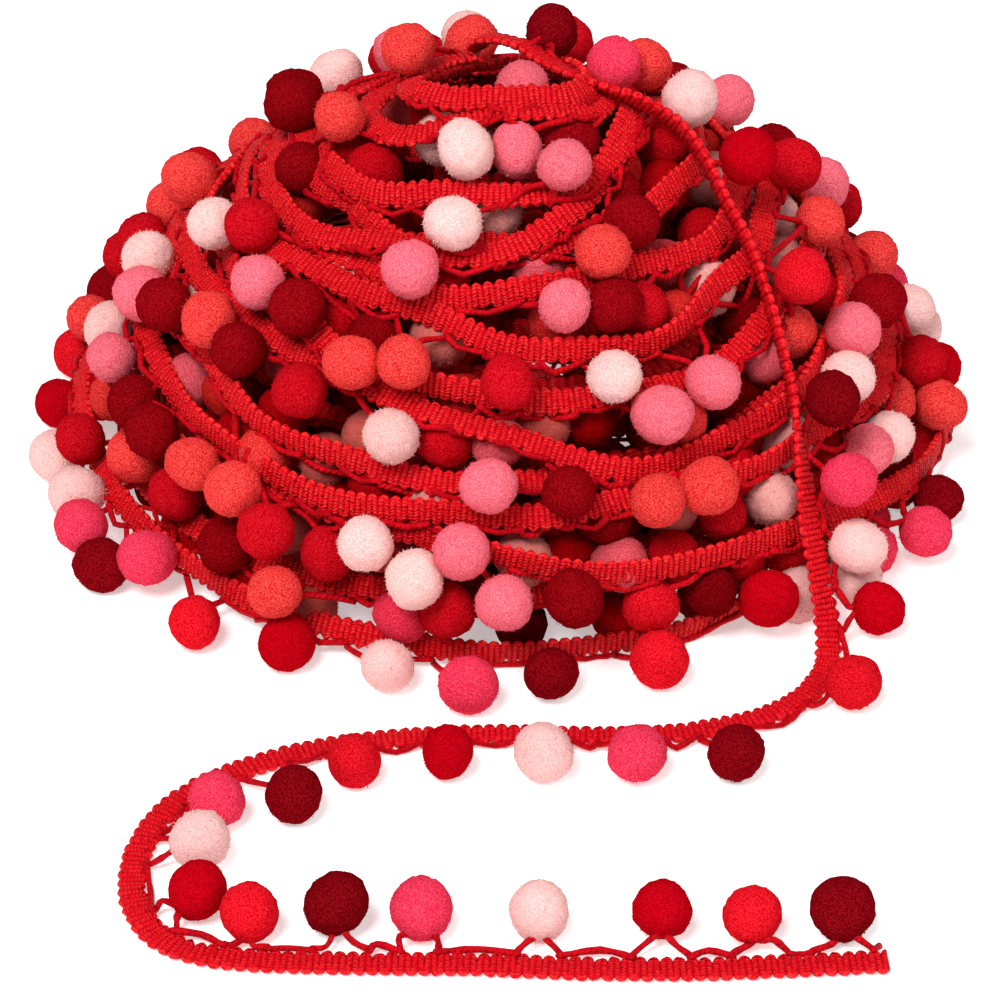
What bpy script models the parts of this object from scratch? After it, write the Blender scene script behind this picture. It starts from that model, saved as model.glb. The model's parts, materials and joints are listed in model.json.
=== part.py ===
"""Roll of pompom trim: a loose wound heap of braid and pompoms with its free end laid out in front.

The trim is a narrow gimp braid. A thin cord zigzags along one edge of it and carries a pompom at each
dip. Most of the trim is wound up in a dome-shaped heap, made here as one solid of its wound form. The
free end leaves the top of the heap, comes down over its right front and makes an S on the floor.

Frame: the origin is the centre of the heap's base on the floor, +Z is up, -Y is the front and +X is
to the right. Everything is in metres. MM turns millimetres into metres.
"""

import bpy
import math
from mathutils import Vector

MM = 0.001

# Heap of wound turns: a dome with a ridge for each main turn and lumps for the pompoms between them
HEAP_RADIUS = 88.5 * MM
HEAP_HEIGHT = 88.5 * MM
HEAP_RIM_POWER = 1.5
HEAP_TOP_POWER = 1.4
HEAP_FOOT_INSET = 3.5 * MM
HEAP_FOOT_HEIGHT = 5.0 * MM
HEAP_COLUMNS = 72
HEAP_ROWS = 26
HEAP_ROW_SPREAD = 1.15
TURNS = 8
RIDGE_HEIGHT = 2.2 * MM
RIDGE_DRIFT = 0.8
LUMP_HEIGHT = 1.6 * MM
LUMPS_ROUND = (11, 5)
LUMPS_UP = (9, 23)
SMOOTH_TOP_RADIUS = 20.0 * MM
TOP_SINK = 1.5 * MM
APEX_SINK = 4.5 * MM
DENT_MARGIN = 3.1 * MM
DENT_SLOPE = 0.9

# Gimp braid of the free end
BAND_WIDTH = 5.3 * MM
BAND_THICKNESS = 1.8 * MM
BAND_STEP = 4.0 * MM
EDGE_CHAMFER = 0.6 * MM
UPRIGHT_HEIGHT = 26.0 * MM
UPRIGHT_LEAN = 1.7

# Pompoms and the cord that carries them
POMPOM_DIAMETER = 10.0 * MM
POMPOM_SEGMENTS = 9
POMPOM_RINGS = 7
CORD_RADIUS = 0.5 * MM
FOOT_SPREAD = 6.0 * MM
FOOT_SIDE = 1.6 * MM
CORD_STEP = 2.8 * MM
CORD_CLEARANCE = 0.5 * MM

# Where the free end lies, from the top of the heap to its cut end (millimetres, centre of the braid)
TAIL_ROUTE = [
    (4, 2, 87.5), (11, -5, 85.5), (18, -7.5, 82.5), (25, -8.5, 78.5), (31, -10, 74), (36, -15, 69),
    (40, -21.5, 63.5), (44, -27, 58), (47, -33, 51.5), (49.5, -39.5, 45), (51.5, -45.5, 38.5),
    (53, -51, 32), (54.5, -56, 25.5), (56, -61, 18), (57.5, -65, 11), (58.8, -69, 5), (59, -74, 1.6),
    (57.5, -80, 1), (53, -87, 1), (45, -92.5, 1), (32, -96.5, 1), (16, -97.5, 1), (0, -97, 1),
    (-16, -98, 1), (-30, -100.5, 1), (-42, -105, 1), (-52, -111.5, 1), (-58.5, -120, 1),
    (-61.5, -131, 1), (-60.5, -142, 1), (-55, -150.5, 1), (-45, -154.5, 1), (-27, -155.7, 1),
    (-5, -156, 1), (14, -157, 1), (34, -157, 1), (62.5, -155.3, 1),
]

# Centres of the free end's pompoms in the same order, each with its colour (millimetres)
TAIL_POMPOMS = [
    ("burgundy", 8.8, 8.3, 87.5), ("hot_pink", 20.5, 1, 84), ("pale_pink", 34.5, -3, 77.5),
    ("red", 44.7, -14, 70.1), ("coral", 54.5, -31.5, 55), ("burgundy", 59.2, -48.6, 39.6),
    ("hot_pink", 62.1, -58.4, 28.7), ("pale_pink", 64.5, -60, 15), ("red", 68, -66, 5.5),
    ("coral", 62, -87, 5), ("burgundy", 40, -107, 5), ("hot_pink", 23, -106.8, 5),
    ("pale_pink", 7, -106.6, 5), ("red", -9.7, -106.7, 5), ("coral", -25.5, -109.3, 5),
    ("burgundy", -35.7, -118, 5), ("hot_pink", -48.6, -119, 5), ("pale_pink", -50.8, -129.8, 5),
    ("red", -50, -142.3, 5), ("coral", -41.3, -148, 5.2), ("burgundy", -27.3, -146, 5),
    ("hot_pink", -13.4, -146.8, 5), ("pale_pink", 6, -147.5, 5), ("red", 26, -147, 5),
    ("coral", 40.5, -148.5, 5), ("burgundy", 55.5, -147, 5),
]

COLOURS = {
    "braid_red": (0.62, 0.012, 0.012),
    "burgundy": (0.20, 0.004, 0.008),
    "red": (0.50, 0.008, 0.012),
    "coral": (0.80, 0.055, 0.045),
    "hot_pink": (0.86, 0.11, 0.17),
    "pale_pink": (0.92, 0.58, 0.55),
}
YARN_ROUGHNESS = 0.95


def clear_scene():
    """Remove every object that is in the scene."""
    for obj in list(bpy.data.objects):
        bpy.data.objects.remove(obj, do_unlink=True)


def yarn_material(name, colour):
    """Make a matt yarn material of one colour."""
    material = bpy.data.materials.new(name)
    material.use_nodes = True
    shader = material.node_tree.nodes["Principled BSDF"]
    shader.inputs["Base Color"].default_value = (*colour, 1.0)
    shader.inputs["Roughness"].default_value = YARN_ROUGHNESS
    shader.inputs["Metallic"].default_value = 0.0
    return material


def add_object(name, data, material):
    """Link a mesh or curve into the scene as a named object with its own material."""
    obj = bpy.data.objects.new(name, data)
    data.materials.append(material)
    bpy.context.scene.collection.objects.link(obj)
    return obj


def mesh_object(name, points, faces, material):
    """Make a mesh object from points and faces, shaded smooth."""
    mesh = bpy.data.meshes.new(name)
    mesh.from_pydata([tuple(point) for point in points], [], faces)
    mesh.shade_smooth()
    return add_object(name, mesh, material)


def smooth_route(points, step):
    """Read points from a smooth curve through a route, about one step apart."""
    knots = [points[0] * 2 - points[1]] + points + [points[-1] * 2 - points[-2]]
    result = []
    for before, start, end, after in zip(knots, knots[1:], knots[2:], knots[3:]):
        count = max(1, round((end - start).length / step))
        for index in range(count):
            t = index / count
            result.append(0.5 * (2 * start + (end - before) * t
                                 + (2 * before - 5 * start + 4 * end - after) * t ** 2
                                 + (3 * start - before - 3 * end + after) * t ** 3))
    result.append(points[-1])
    return result


def facing(point):
    """Give the direction that the braid's flat face looks in: out of the heap, or up on the floor."""
    rise = max(0.0, min(1.0, point.z / UPRIGHT_HEIGHT))
    outward = UPRIGHT_LEAN * rise * rise * (3 - 2 * rise) / HEAP_RADIUS
    return Vector((point.x * outward, point.y * outward, 1.0)).normalized()


def route_frames(points):
    """Give the side and face directions at each point of the route, the pompoms' side first."""
    frames = []
    for index, point in enumerate(points):
        ahead = points[min(index + 1, len(points) - 1)]
        behind = points[max(index - 1, 0)]
        along = (ahead - behind).normalized()
        side = facing(point).cross(along).normalized()
        frames.append((side, along.cross(side)))
    return frames


def heap_surface(turn, rise):
    """Give a point of the heap's outside at a part of a turn round and a part of the way up."""
    angle = 2 * math.pi * turn
    height = HEAP_HEIGHT * math.sin(0.5 * math.pi * rise) ** HEAP_ROW_SPREAD
    radius = HEAP_RADIUS * (1 - (height / HEAP_HEIGHT) ** HEAP_TOP_POWER) ** (1 / HEAP_RIM_POWER)
    lift = RIDGE_HEIGHT * math.cos(2 * math.pi * (TURNS * rise - turn + RIDGE_DRIFT * math.sin(angle)))
    lumps = math.sin(LUMPS_ROUND[0] * angle + LUMPS_UP[0] * rise)
    lift += LUMP_HEIGHT * lumps * math.cos(LUMPS_ROUND[1] * angle - LUMPS_UP[1] * rise)
    foot = max(0.0, 1 - height / HEAP_FOOT_HEIGHT)
    radius += lift * min(1.0, radius / SMOOTH_TOP_RADIUS) - HEAP_FOOT_INSET * foot * foot
    lowered = max(0.0, height - TOP_SINK * rise)
    return Vector((radius * math.sin(angle), -radius * math.cos(angle), lowered))


def clear_of(point, obstacles):
    """Move a point of the heap down its slope until it is outside every obstacle's ball."""
    inward = Vector((-point.x, -point.y, -DENT_SLOPE * point.z))
    inward.normalize()
    moved = point.copy()
    for centre, radius in obstacles:
        offset = moved - centre
        if offset.length < radius:
            along = offset.dot(inward)
            moved += inward * (math.sqrt(along * along + radius ** 2 - offset.length_squared) - along)
    moved.z = max(moved.z, 0.0)
    return moved


def build_heap(material, obstacles):
    """Build the wound heap as one solid: a ridged dome on a flat base, dented under the free end."""
    points = []
    for row in range(HEAP_ROWS):
        for column in range(HEAP_COLUMNS):
            point = heap_surface(column / HEAP_COLUMNS, row / HEAP_ROWS)
            points.append(clear_of(point, obstacles) if row else Vector((point.x, point.y, 0.0)))
    faces = []
    for row in range(HEAP_ROWS - 1):
        for column in range(HEAP_COLUMNS):
            right = (column + 1) % HEAP_COLUMNS
            low = row * HEAP_COLUMNS
            high = low + HEAP_COLUMNS
            faces.append((low + column, low + right, high + right, high + column))
    top = len(points)
    last = (HEAP_ROWS - 1) * HEAP_COLUMNS
    points.append(clear_of(Vector((0.0, 0.0, HEAP_HEIGHT - APEX_SINK)), obstacles))
    for column in range(HEAP_COLUMNS):
        faces.append((last + column, last + (column + 1) % HEAP_COLUMNS, top))
    faces.append(tuple(reversed(range(HEAP_COLUMNS))))
    return mesh_object("wound_heap", points, faces, material)


def build_band(route, frames, material):
    """Build the free end's braid: a flat ribbon with chamfered edges, swept along the route."""
    half = BAND_WIDTH / 2
    deep = BAND_THICKNESS / 2
    flat = half - EDGE_CHAMFER
    section = [(-half, 0.0), (-flat, -deep), (flat, -deep), (half, 0.0), (flat, deep), (-flat, deep)]
    points = []
    for centre, (side, face) in zip(route, frames):
        points += [centre + side * across + face * up for across, up in section]
    count = len(section)
    faces = [tuple(reversed(range(count)))]
    for ring in range(len(route) - 1):
        for index in range(count):
            after = (index + 1) % count
            low = ring * count
            faces.append((low + index, low + after, low + count + after, low + count + index))
    faces.append(tuple(range(len(points) - count, len(points))))
    return mesh_object("tail_band", points, faces, material)


def build_pompom(name, centre, material):
    """Build one pompom as a ball."""
    points = [Vector((0, 0, -0.5)) * POMPOM_DIAMETER]
    for ring in range(1, POMPOM_RINGS):
        polar = math.pi * ring / POMPOM_RINGS
        for segment in range(POMPOM_SEGMENTS):
            turn = 2 * math.pi * segment / POMPOM_SEGMENTS
            points.append(0.5 * POMPOM_DIAMETER * Vector((math.sin(polar) * math.cos(turn),
                                                          math.sin(polar) * math.sin(turn),
                                                          -math.cos(polar))))
    points.append(Vector((0, 0, 0.5)) * POMPOM_DIAMETER)
    last = len(points) - 1
    faces = []
    for segment in range(POMPOM_SEGMENTS):
        after = (segment + 1) % POMPOM_SEGMENTS
        faces.append((0, 1 + after, 1 + segment))
        for ring in range(POMPOM_RINGS - 2):
            low = 1 + ring * POMPOM_SEGMENTS
            high = low + POMPOM_SEGMENTS
            faces.append((low + segment, low + after, high + after, high + segment))
        top = 1 + (POMPOM_RINGS - 2) * POMPOM_SEGMENTS
        faces.append((top + segment, top + after, last))
    obj = mesh_object(name, points, faces, material)
    obj.location = centre
    return obj


def hanger_points(route, frames, centres):
    """Give the hanger cord's line: two feet on the braid for each pompom, and a dip to it between."""
    rest = BAND_THICKNESS / 2 + CORD_CLEARANCE + CORD_RADIUS
    spread = round(FOOT_SPREAD / BAND_STEP)
    points = []
    for centre in centres:
        near = min(range(len(route)), key=lambda index: (route[index] - centre).length)
        for index in (near - spread, near, near + spread):
            index = max(0, min(len(route) - 1, index))
            side, face = frames[index]
            foot = route[index] + side * FOOT_SIDE + face * rest
            if index == near:
                reach = POMPOM_DIAMETER / 2 + CORD_CLEARANCE + CORD_RADIUS
                foot = centre + (foot - centre).normalized() * reach
            points.append(foot)
    return points


def build_hanger_cord(line, material):
    """Build the hanger cord as one zigzag tube along the free end's braid."""
    curve = bpy.data.curves.new("tail_hanger_cord", "CURVE")
    curve.dimensions = "3D"
    curve.bevel_depth = CORD_RADIUS
    curve.bevel_resolution = 1
    curve.use_fill_caps = True
    spline = curve.splines.new("POLY")
    spline.points.add(len(line) - 1)
    for target, point in zip(spline.points, line):
        target.co = (*point, 1.0)
    return add_object("tail_hanger_cord", curve, material)


def build():
    """Build every piece of the trim."""
    clear_scene()
    materials = {name: yarn_material(name, colour) for name, colour in COLOURS.items()}
    route = smooth_route([Vector(point) * MM for point in TAIL_ROUTE], BAND_STEP)
    frames = route_frames(route)
    centres = [Vector(point[1:]) * MM for point in TAIL_POMPOMS]
    line = smooth_route(hanger_points(route, frames, centres), CORD_STEP)

    obstacles = [(point, BAND_WIDTH / 2 + DENT_MARGIN) for point in route]
    obstacles += [(centre, POMPOM_DIAMETER / 2 + DENT_MARGIN) for centre in centres]
    obstacles += [(point, CORD_RADIUS + DENT_MARGIN) for point in line]
    build_heap(yarn_material("heap_red", COLOURS["braid_red"]), obstacles)
    build_band(route, frames, materials["braid_red"])
    build_hanger_cord(line, yarn_material("cord_red", COLOURS["braid_red"]))
    for number, (entry, centre) in enumerate(zip(TAIL_POMPOMS, centres), start=1):
        build_pompom(f"tail_pompom_{number:02d}", centre, materials[entry[0]])


build()
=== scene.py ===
"""Visual model of a roll of pompom trim: a wound heap of gimp braid and pompoms, and its free end.

The trim is one long gimp braid. A thin cord zigzags along one edge of the braid and carries a pompom
at each dip. The heap is that trim wound round and round from a coil on the floor, through two inner
layers, to the outer turns. The free end leaves the top, comes down over the heap and lies in an S.

Lengths in the classes are in millimetres, except the studio's, and MeshBatch.build turns them into
metres. Azimuths are in degrees, from the front towards the right.
"""

import json
import logging
import math
from dataclasses import dataclass, field
from enum import Enum

import bpy
import numpy as np
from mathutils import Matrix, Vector


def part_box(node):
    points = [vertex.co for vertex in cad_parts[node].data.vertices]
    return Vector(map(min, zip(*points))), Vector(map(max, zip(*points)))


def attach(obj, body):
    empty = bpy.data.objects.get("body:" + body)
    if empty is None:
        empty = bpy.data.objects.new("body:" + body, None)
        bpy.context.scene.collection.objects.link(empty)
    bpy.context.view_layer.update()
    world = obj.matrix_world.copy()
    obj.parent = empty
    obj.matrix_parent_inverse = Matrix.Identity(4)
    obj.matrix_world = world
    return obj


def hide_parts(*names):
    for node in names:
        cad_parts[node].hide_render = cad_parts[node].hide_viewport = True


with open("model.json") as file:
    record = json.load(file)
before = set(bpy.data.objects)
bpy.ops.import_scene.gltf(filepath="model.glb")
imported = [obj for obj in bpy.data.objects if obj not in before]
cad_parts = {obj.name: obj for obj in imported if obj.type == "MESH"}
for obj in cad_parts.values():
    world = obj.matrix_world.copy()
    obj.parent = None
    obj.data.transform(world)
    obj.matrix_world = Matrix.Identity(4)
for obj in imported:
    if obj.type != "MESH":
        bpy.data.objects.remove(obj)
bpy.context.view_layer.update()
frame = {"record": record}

MM = 0.001
SEED = 20
ROOT_BODY = "root"

# The lowest that any point reaches, and the distance from the braid's middle to its pompom edge.
FLOOR_GAP = 0.03
BRAID_EDGE = 2.65

log = logging.getLogger("pompom_trim")


class YarnColour(Enum):
    """The pompoms' yarn colours, in the order they follow each other towards the cut end."""

    HOT_PINK = "hot_pink"
    PALE_PINK = "pale_pink"
    RED = "red"
    CORAL = "coral"
    BURGUNDY = "burgundy"

    @property
    def fluff(self) -> float:
        """How many stray fibres the yarn has, as a part of the usual number."""
        return {YarnColour.PALE_PINK: 2.0, YarnColour.HOT_PINK: 1.2}.get(self, 0.75)


COLOUR_ROW = list(YarnColour)

# The free end's route from the top of the heap to its cut end, the same as the solid braid's.
TAIL_ROUTE = [
    (4, 2, 87.5), (11, -5, 85.5), (18, -7.5, 82.5), (25, -8.5, 78.5), (31, -10, 74), (36, -15, 69),
    (40, -21.5, 63.5), (44, -27, 58), (47, -33, 51.5), (49.5, -39.5, 45), (51.5, -45.5, 38.5),
    (53, -51, 32), (54.5, -56, 25.5), (56, -61, 18), (57.5, -65, 11), (58.8, -69, 5), (59, -74, 1.6),
    (57.5, -80, 1), (53, -87, 1), (45, -92.5, 1), (32, -96.5, 1), (16, -97.5, 1), (0, -97, 1),
    (-16, -98, 1), (-30, -100.5, 1), (-42, -105, 1), (-52, -111.5, 1), (-58.5, -120, 1),
    (-61.5, -131, 1), (-60.5, -142, 1), (-55, -150.5, 1), (-45, -154.5, 1), (-27, -155.7, 1),
    (-5, -156, 1), (14, -157, 1), (34, -157, 1), (62.5, -155.3, 1),
]


class Lie(Enum):
    """How far a chosen pompom's centre lies outside the outer braid's middle, in millimetres."""

    OUTSIDE = 6.0
    OVER = 3.6
    LEVEL = 0.2
    BEHIND = -5.5


@dataclass(frozen=True)
class Shown:
    """Places on the heap where pompoms of one colour show.

    Attributes:
        colour: The pompoms' colour.
        lie: How far out they lie.
        places: Azimuth and height of each.
    """

    colour: YarnColour
    lie: Lie
    places: tuple


# How the pompoms lie on the front and the sides of the heap, and over its top.
SHOWN_POMPOMS = (
    Shown(YarnColour.HOT_PINK, Lie.OUTSIDE, ((-61, 8), (61, 7))),
    Shown(YarnColour.PALE_PINK, Lie.OUTSIDE, ((-69, 8),)),
    Shown(YarnColour.CORAL, Lie.OUTSIDE, ((-38, 5),)),
    Shown(YarnColour.BURGUNDY, Lie.OUTSIDE, ((-55, 5),)),
    Shown(YarnColour.HOT_PINK, Lie.OVER, ((-4, 5),)),
    Shown(YarnColour.PALE_PINK, Lie.LEVEL, ((-14, 5),)),
    Shown(YarnColour.RED, Lie.LEVEL, ((-27, 5),)),
    Shown(YarnColour.BURGUNDY, Lie.LEVEL, ((6, 5),)),
    Shown(YarnColour.CORAL, Lie.BEHIND, ((20, 12),)),
    Shown(YarnColour.RED, Lie.BEHIND, ((35, 12),)),
    Shown(YarnColour.HOT_PINK, Lie.OVER, ((-18, 63), (-52, 55), (35, 45), (-78, 41), (-2, 36), (-77, 31),
                                          (-5, 27), (0, 19))),
    Shown(YarnColour.HOT_PINK, Lie.LEVEL, ((7, 78), (24, 73), (12, 56), (26, 43), (65, 42), (-63, 38),
                                           (60, 25), (-12, 12))),
    Shown(YarnColour.HOT_PINK, Lie.BEHIND, ((29, 80), (11, 61), (-64, 44), (53, 37), (82, 24), (17, 18))),
    Shown(YarnColour.PALE_PINK, Lie.OVER, ((-14, 78), (54, 77), (-12, 69), (19, 50), (14, 44), (-84, 43),
                                           (-15, 43), (-79, 33), (-18, 26), (86, 26), (65, 23),
                                           (-11, 22), (-45, 20))),
    Shown(YarnColour.PALE_PINK, Lie.LEVEL, ((4, 73), (49, 55), (-71, 54), (63, 31))),
    Shown(YarnColour.PALE_PINK, Lie.BEHIND, ((-38, 74), (-4, 66), (-41, 57), (-13, 52), (80, 45), (8, 41),
                                             (-55, 37), (-11, 29), (82, 29), (41, 21), (4, 20))),
    Shown(YarnColour.RED, Lie.OVER, ((-62, 60), (1, 50), (-34, 45), (-32, 24), (81, 21), (-73, 15))),
    Shown(YarnColour.RED, Lie.LEVEL, ((47, 67), (30, 57), (93, 54), (-56, 19), (37, 11))),
    Shown(YarnColour.RED, Lie.BEHIND, ((7, 78), (-72, 68), (-52, 68), (70, 65), (-44, 64), (64, 57),
                                       (80, 53), (82, 38), (-9, 36), (44, 33), (-19, 31), (34, 22),
                                       (-25, 20), (-7, 14), (26, 13), (-25, 11), (-57, 8))),
    Shown(YarnColour.CORAL, Lie.OVER, ((-96, 84), (-75, 82), (21, 65), (-17, 51), (87, 49), (-55, 47),
                                       (21, 32), (29, 31), (-65, 23), (-29, 15), (28, 14), (80, 14))),
    Shown(YarnColour.CORAL, Lie.LEVEL, ((-67, 75), (-95, 49), (-26, 49), (-48, 27), (-37, 21), (-81, 20))),
    Shown(YarnColour.CORAL, Lie.BEHIND, ((61, 40), (36, 32), (95, 32), (-39, 28), (77, 21))),
    Shown(YarnColour.BURGUNDY, Lie.OVER, ((-68, 44), (79, 38), (9, 35))),
    Shown(YarnColour.BURGUNDY, Lie.LEVEL, ((35, 78), (-72, 69), (34, 65), (22, 57), (-40, 52), (-45, 44),
                                           (-67, 30), (-59, 26), (9, 19))),
    Shown(YarnColour.BURGUNDY, Lie.BEHIND, ((60, 43), (8, 27), (15, 25), (-41, 11))),
)


def linear_colour(code: str) -> tuple[float, float, float, float]:
    """Turn an sRGB hex colour into the linear values that shaders use.

    Args:
        code: The colour as "#RRGGBB".

    Returns:
        Linear red, green, blue and an alpha of 1.
    """
    values = [int(code[index:index + 2], 16) / 255 for index in (1, 3, 5)]
    linear = [v / 12.92 if v <= 0.04045 else ((v + 0.055) / 1.055) ** 2.4 for v in values]
    return (*linear, 1.0)


def add_node(tree: bpy.types.NodeTree, kind: str, values: dict | None = None,
             links: dict | None = None, **settings: object) -> bpy.types.Node:
    """Add a shader node with its settings, input values and links.

    Args:
        tree: The node tree to add to.
        kind: The node's type name.
        values: Constant values by input name or number.
        links: Sockets to link in, by input name or number.
        **settings: The node's own properties.

    Returns:
        The new node.
    """
    node = tree.nodes.new(kind)
    for name, value in settings.items():
        setattr(node, name, value)
    for name, value in (values or {}).items():
        node.inputs[name].default_value = value
    for name, socket in (links or {}).items():
        tree.links.new(socket, node.inputs[name])
    return node


def new_material(name: str, sockets: dict) -> tuple[bpy.types.Material, bpy.types.Node]:
    """Make a material whose shader has the given constant values.

    Args:
        name: The material's name.
        sockets: Values by the name of the Principled shader's input.

    Returns:
        The material and its shader node.
    """
    material = bpy.data.materials.new(name)
    material.use_nodes = True
    shader = material.node_tree.nodes["Principled BSDF"]
    for socket, value in sockets.items():
        shader.inputs[socket].default_value = value
    return material, shader


# Braid and cord lie among their own red neighbours, so their gloss gets a reddish tint: a painted
# reflection of them.
PAINTED_RED_REFLECTION = "#FF8070"


@dataclass(frozen=True)
class GimpBraidFinish:
    """Viscose gimp braid: one thick cord laid to and fro across it, its strands lying side by side.

    The strands and the gaps between them are real shapes. The finish adds the cord's twist, which leans
    the other way on each next strand, painted highlights on top of the twist, and painted shade in the
    gaps.

    Attributes:
        painted_highlight: Colour of the painted highlights.
        colour: Colour of the strands.
        gap: Colour of the painted shade between the strands.
        twist_pitch: Distance across the braid from one twist to the next.
        slant: How far the twist slants over one strand, in twists.
        clumps: How many uneven clumps of fibre lie in a millimetre.
        bend: How far the clumps bend the lines of the twist, in twists.
        roughness: The yarn's roughness.
        gloss: The yarn's specular level, low as its fibres lie at all angles.
        relief: Depth of the twist.
    """

    painted_highlight: str = "#EE3E38"
    colour: str = "#D00A1A"
    gap: str = "#8E0210"
    twist_pitch: float = 0.58
    slant: float = 0.7
    clumps: float = 1.1
    bend: float = 1.6
    roughness: float = 0.55
    gloss: float = 0.16
    relief: float = 0.075

    def material(self, name: str) -> bpy.types.Material:
        """Build the braid's material.

        Args:
            name: The material's name.

        Returns:
            The material.
        """
        # The specular tint is the painted red reflection.
        material, shader = new_material(name, {
            "Roughness": self.roughness, "Specular IOR Level": self.gloss,
            "Specular Tint": linear_colour(PAINTED_RED_REFLECTION)})
        tree = material.node_tree
        place = add_node(tree, "ShaderNodeUVMap", uv_map="pattern")
        parts = add_node(tree, "ShaderNodeSeparateXYZ", links={0: place.outputs["UV"]})
        spot = add_node(tree, "ShaderNodeTexCoord")
        # Fibre by fibre unevenness bends the twist's lines and varies the tone along the braid.
        mottle = add_node(tree, "ShaderNodeTexNoise",
                          values={"Scale": self.clumps / MM, "Detail": 2.0},
                          links={"Vector": spot.outputs["Object"]})
        # Pattern X counts strands, so a triangle wave of it turns the slant over on each next strand.
        strand = add_node(tree, "ShaderNodeMath", operation="PINGPONG", values={1: 1.0},
                          links={0: parts.outputs["X"]})
        bent = add_node(tree, "ShaderNodeMath", operation="MULTIPLY", values={1: self.bend},
                        links={0: mottle.outputs["Fac"]})
        phase = add_node(tree, "ShaderNodeMath", operation="MULTIPLY_ADD", values={1: self.slant},
                         links={0: strand.outputs[0], 2: bent.outputs[0]})
        phase = add_node(tree, "ShaderNodeMath", operation="MULTIPLY_ADD",
                         values={1: 1 / self.twist_pitch},
                         links={0: parts.outputs["Y"], 2: phase.outputs[0]})
        phase = add_node(tree, "ShaderNodeMath", operation="MULTIPLY", values={1: 2 * math.pi},
                         links={0: phase.outputs[0]})
        twist = add_node(tree, "ShaderNodeMath", operation="SINE", links={0: phase.outputs[0]})
        full = add_node(tree, "ShaderNodeAttribute", attribute_name="tone", attribute_type="GEOMETRY")
        relief = add_node(tree, "ShaderNodeBump", values={"Strength": 1.0, "Distance": self.relief * MM},
                          links={"Height": twist.outputs[0]})
        # A painted highlight goes where the top of a twist lies on the top of a strand.
        point = add_node(tree, "ShaderNodeMath", operation="MULTIPLY_ADD", values={1: 0.20},
                         links={0: twist.outputs[0], 2: full.outputs["Fac"]})
        point = add_node(tree, "ShaderNodeMath", operation="MULTIPLY_ADD", values={1: 0.9},
                         links={0: mottle.outputs["Fac"], 2: point.outputs[0]})
        bright = add_node(tree, "ShaderNodeMapRange",
                          values={"From Min": 1.36, "From Max": 1.76, "To Min": 0.0, "To Max": 1.0},
                          links={"Value": point.outputs[0]})
        yarn = add_node(tree, "ShaderNodeMix", data_type="RGBA",
                        values={6: linear_colour(self.colour), 7: linear_colour(self.painted_highlight)},
                        links={0: bright.outputs["Result"]})
        # The gaps between strands get painted shade: a deeper colour on top of the shading that the render
        # gives.
        painted_gap_shade = add_node(tree, "ShaderNodeMapRange",
                             values={"From Min": 0.38, "From Max": 0.72, "To Min": 0.0, "To Max": 1.0},
                             links={"Value": full.outputs["Fac"]})
        mix = add_node(tree, "ShaderNodeMix", data_type="RGBA", values={6: linear_colour(self.gap)},
                       links={0: painted_gap_shade.outputs["Result"], 7: yarn.outputs[2]})
        tree.links.new(mix.outputs[2], shader.inputs["Base Color"])
        tree.links.new(relief.outputs["Normal"], shader.inputs["Normal"])
        return material


@dataclass(frozen=True)
class HangerCordFinish:
    """Thin twisted viscose cord: the slanting lines of its plies and a low gloss.

    Attributes:
        colour: The cord's colour.
        plies: How many plies are twisted together.
        ply_pitch: Length of cord in which the next ply comes round.
        clumps: How many uneven clumps of fibre lie in a millimetre.
        roughness: The yarn's roughness.
        gloss: The yarn's specular level.
        relief: Depth between two plies.
    """

    colour: str = "#BC0818"
    plies: int = 2
    ply_pitch: float = 1.1
    clumps: float = 0.7
    roughness: float = 0.55
    gloss: float = 0.14
    relief: float = 0.09

    def material(self, name: str) -> bpy.types.Material:
        """Build the cord's material.

        Args:
            name: The material's name.

        Returns:
            The material.
        """
        # The specular tint is the painted red reflection.
        material, shader = new_material(name, {
            "Roughness": self.roughness, "Specular IOR Level": self.gloss,
            "Specular Tint": linear_colour(PAINTED_RED_REFLECTION)})
        tree = material.node_tree
        place = add_node(tree, "ShaderNodeUVMap", uv_map="pattern")
        parts = add_node(tree, "ShaderNodeSeparateXYZ", links={0: place.outputs["UV"]})
        along = add_node(tree, "ShaderNodeMath", operation="MULTIPLY",
                         values={1: 2 * math.pi / self.ply_pitch}, links={0: parts.outputs["X"]})
        slant = add_node(tree, "ShaderNodeMath", operation="MULTIPLY_ADD",
                         values={1: 2 * math.pi * self.plies},
                         links={0: parts.outputs["Y"], 2: along.outputs[0]})
        ply = add_node(tree, "ShaderNodeMath", operation="SINE", links={0: slant.outputs[0]})
        relief = add_node(tree, "ShaderNodeBump", values={"Strength": 0.8, "Distance": self.relief * MM},
                          links={"Height": ply.outputs[0]})
        spot = add_node(tree, "ShaderNodeTexCoord")
        mottle = add_node(tree, "ShaderNodeTexNoise",
                          values={"Scale": self.clumps / MM, "Detail": 2.0},
                          links={"Vector": spot.outputs["Object"]})
        tone = add_node(tree, "ShaderNodeMapRange",
                        values={"From Min": 0.3, "From Max": 0.7, "To Min": 0.7, "To Max": 1.15},
                        links={"Value": mottle.outputs["Fac"]})
        colour = add_node(tree, "ShaderNodeHueSaturation", values={"Color": linear_colour(self.colour)},
                          links={"Value": tone.outputs["Result"]})
        tree.links.new(colour.outputs["Color"], shader.inputs["Base Color"])
        tree.links.new(relief.outputs["Normal"], shader.inputs["Normal"])
        return material


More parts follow.
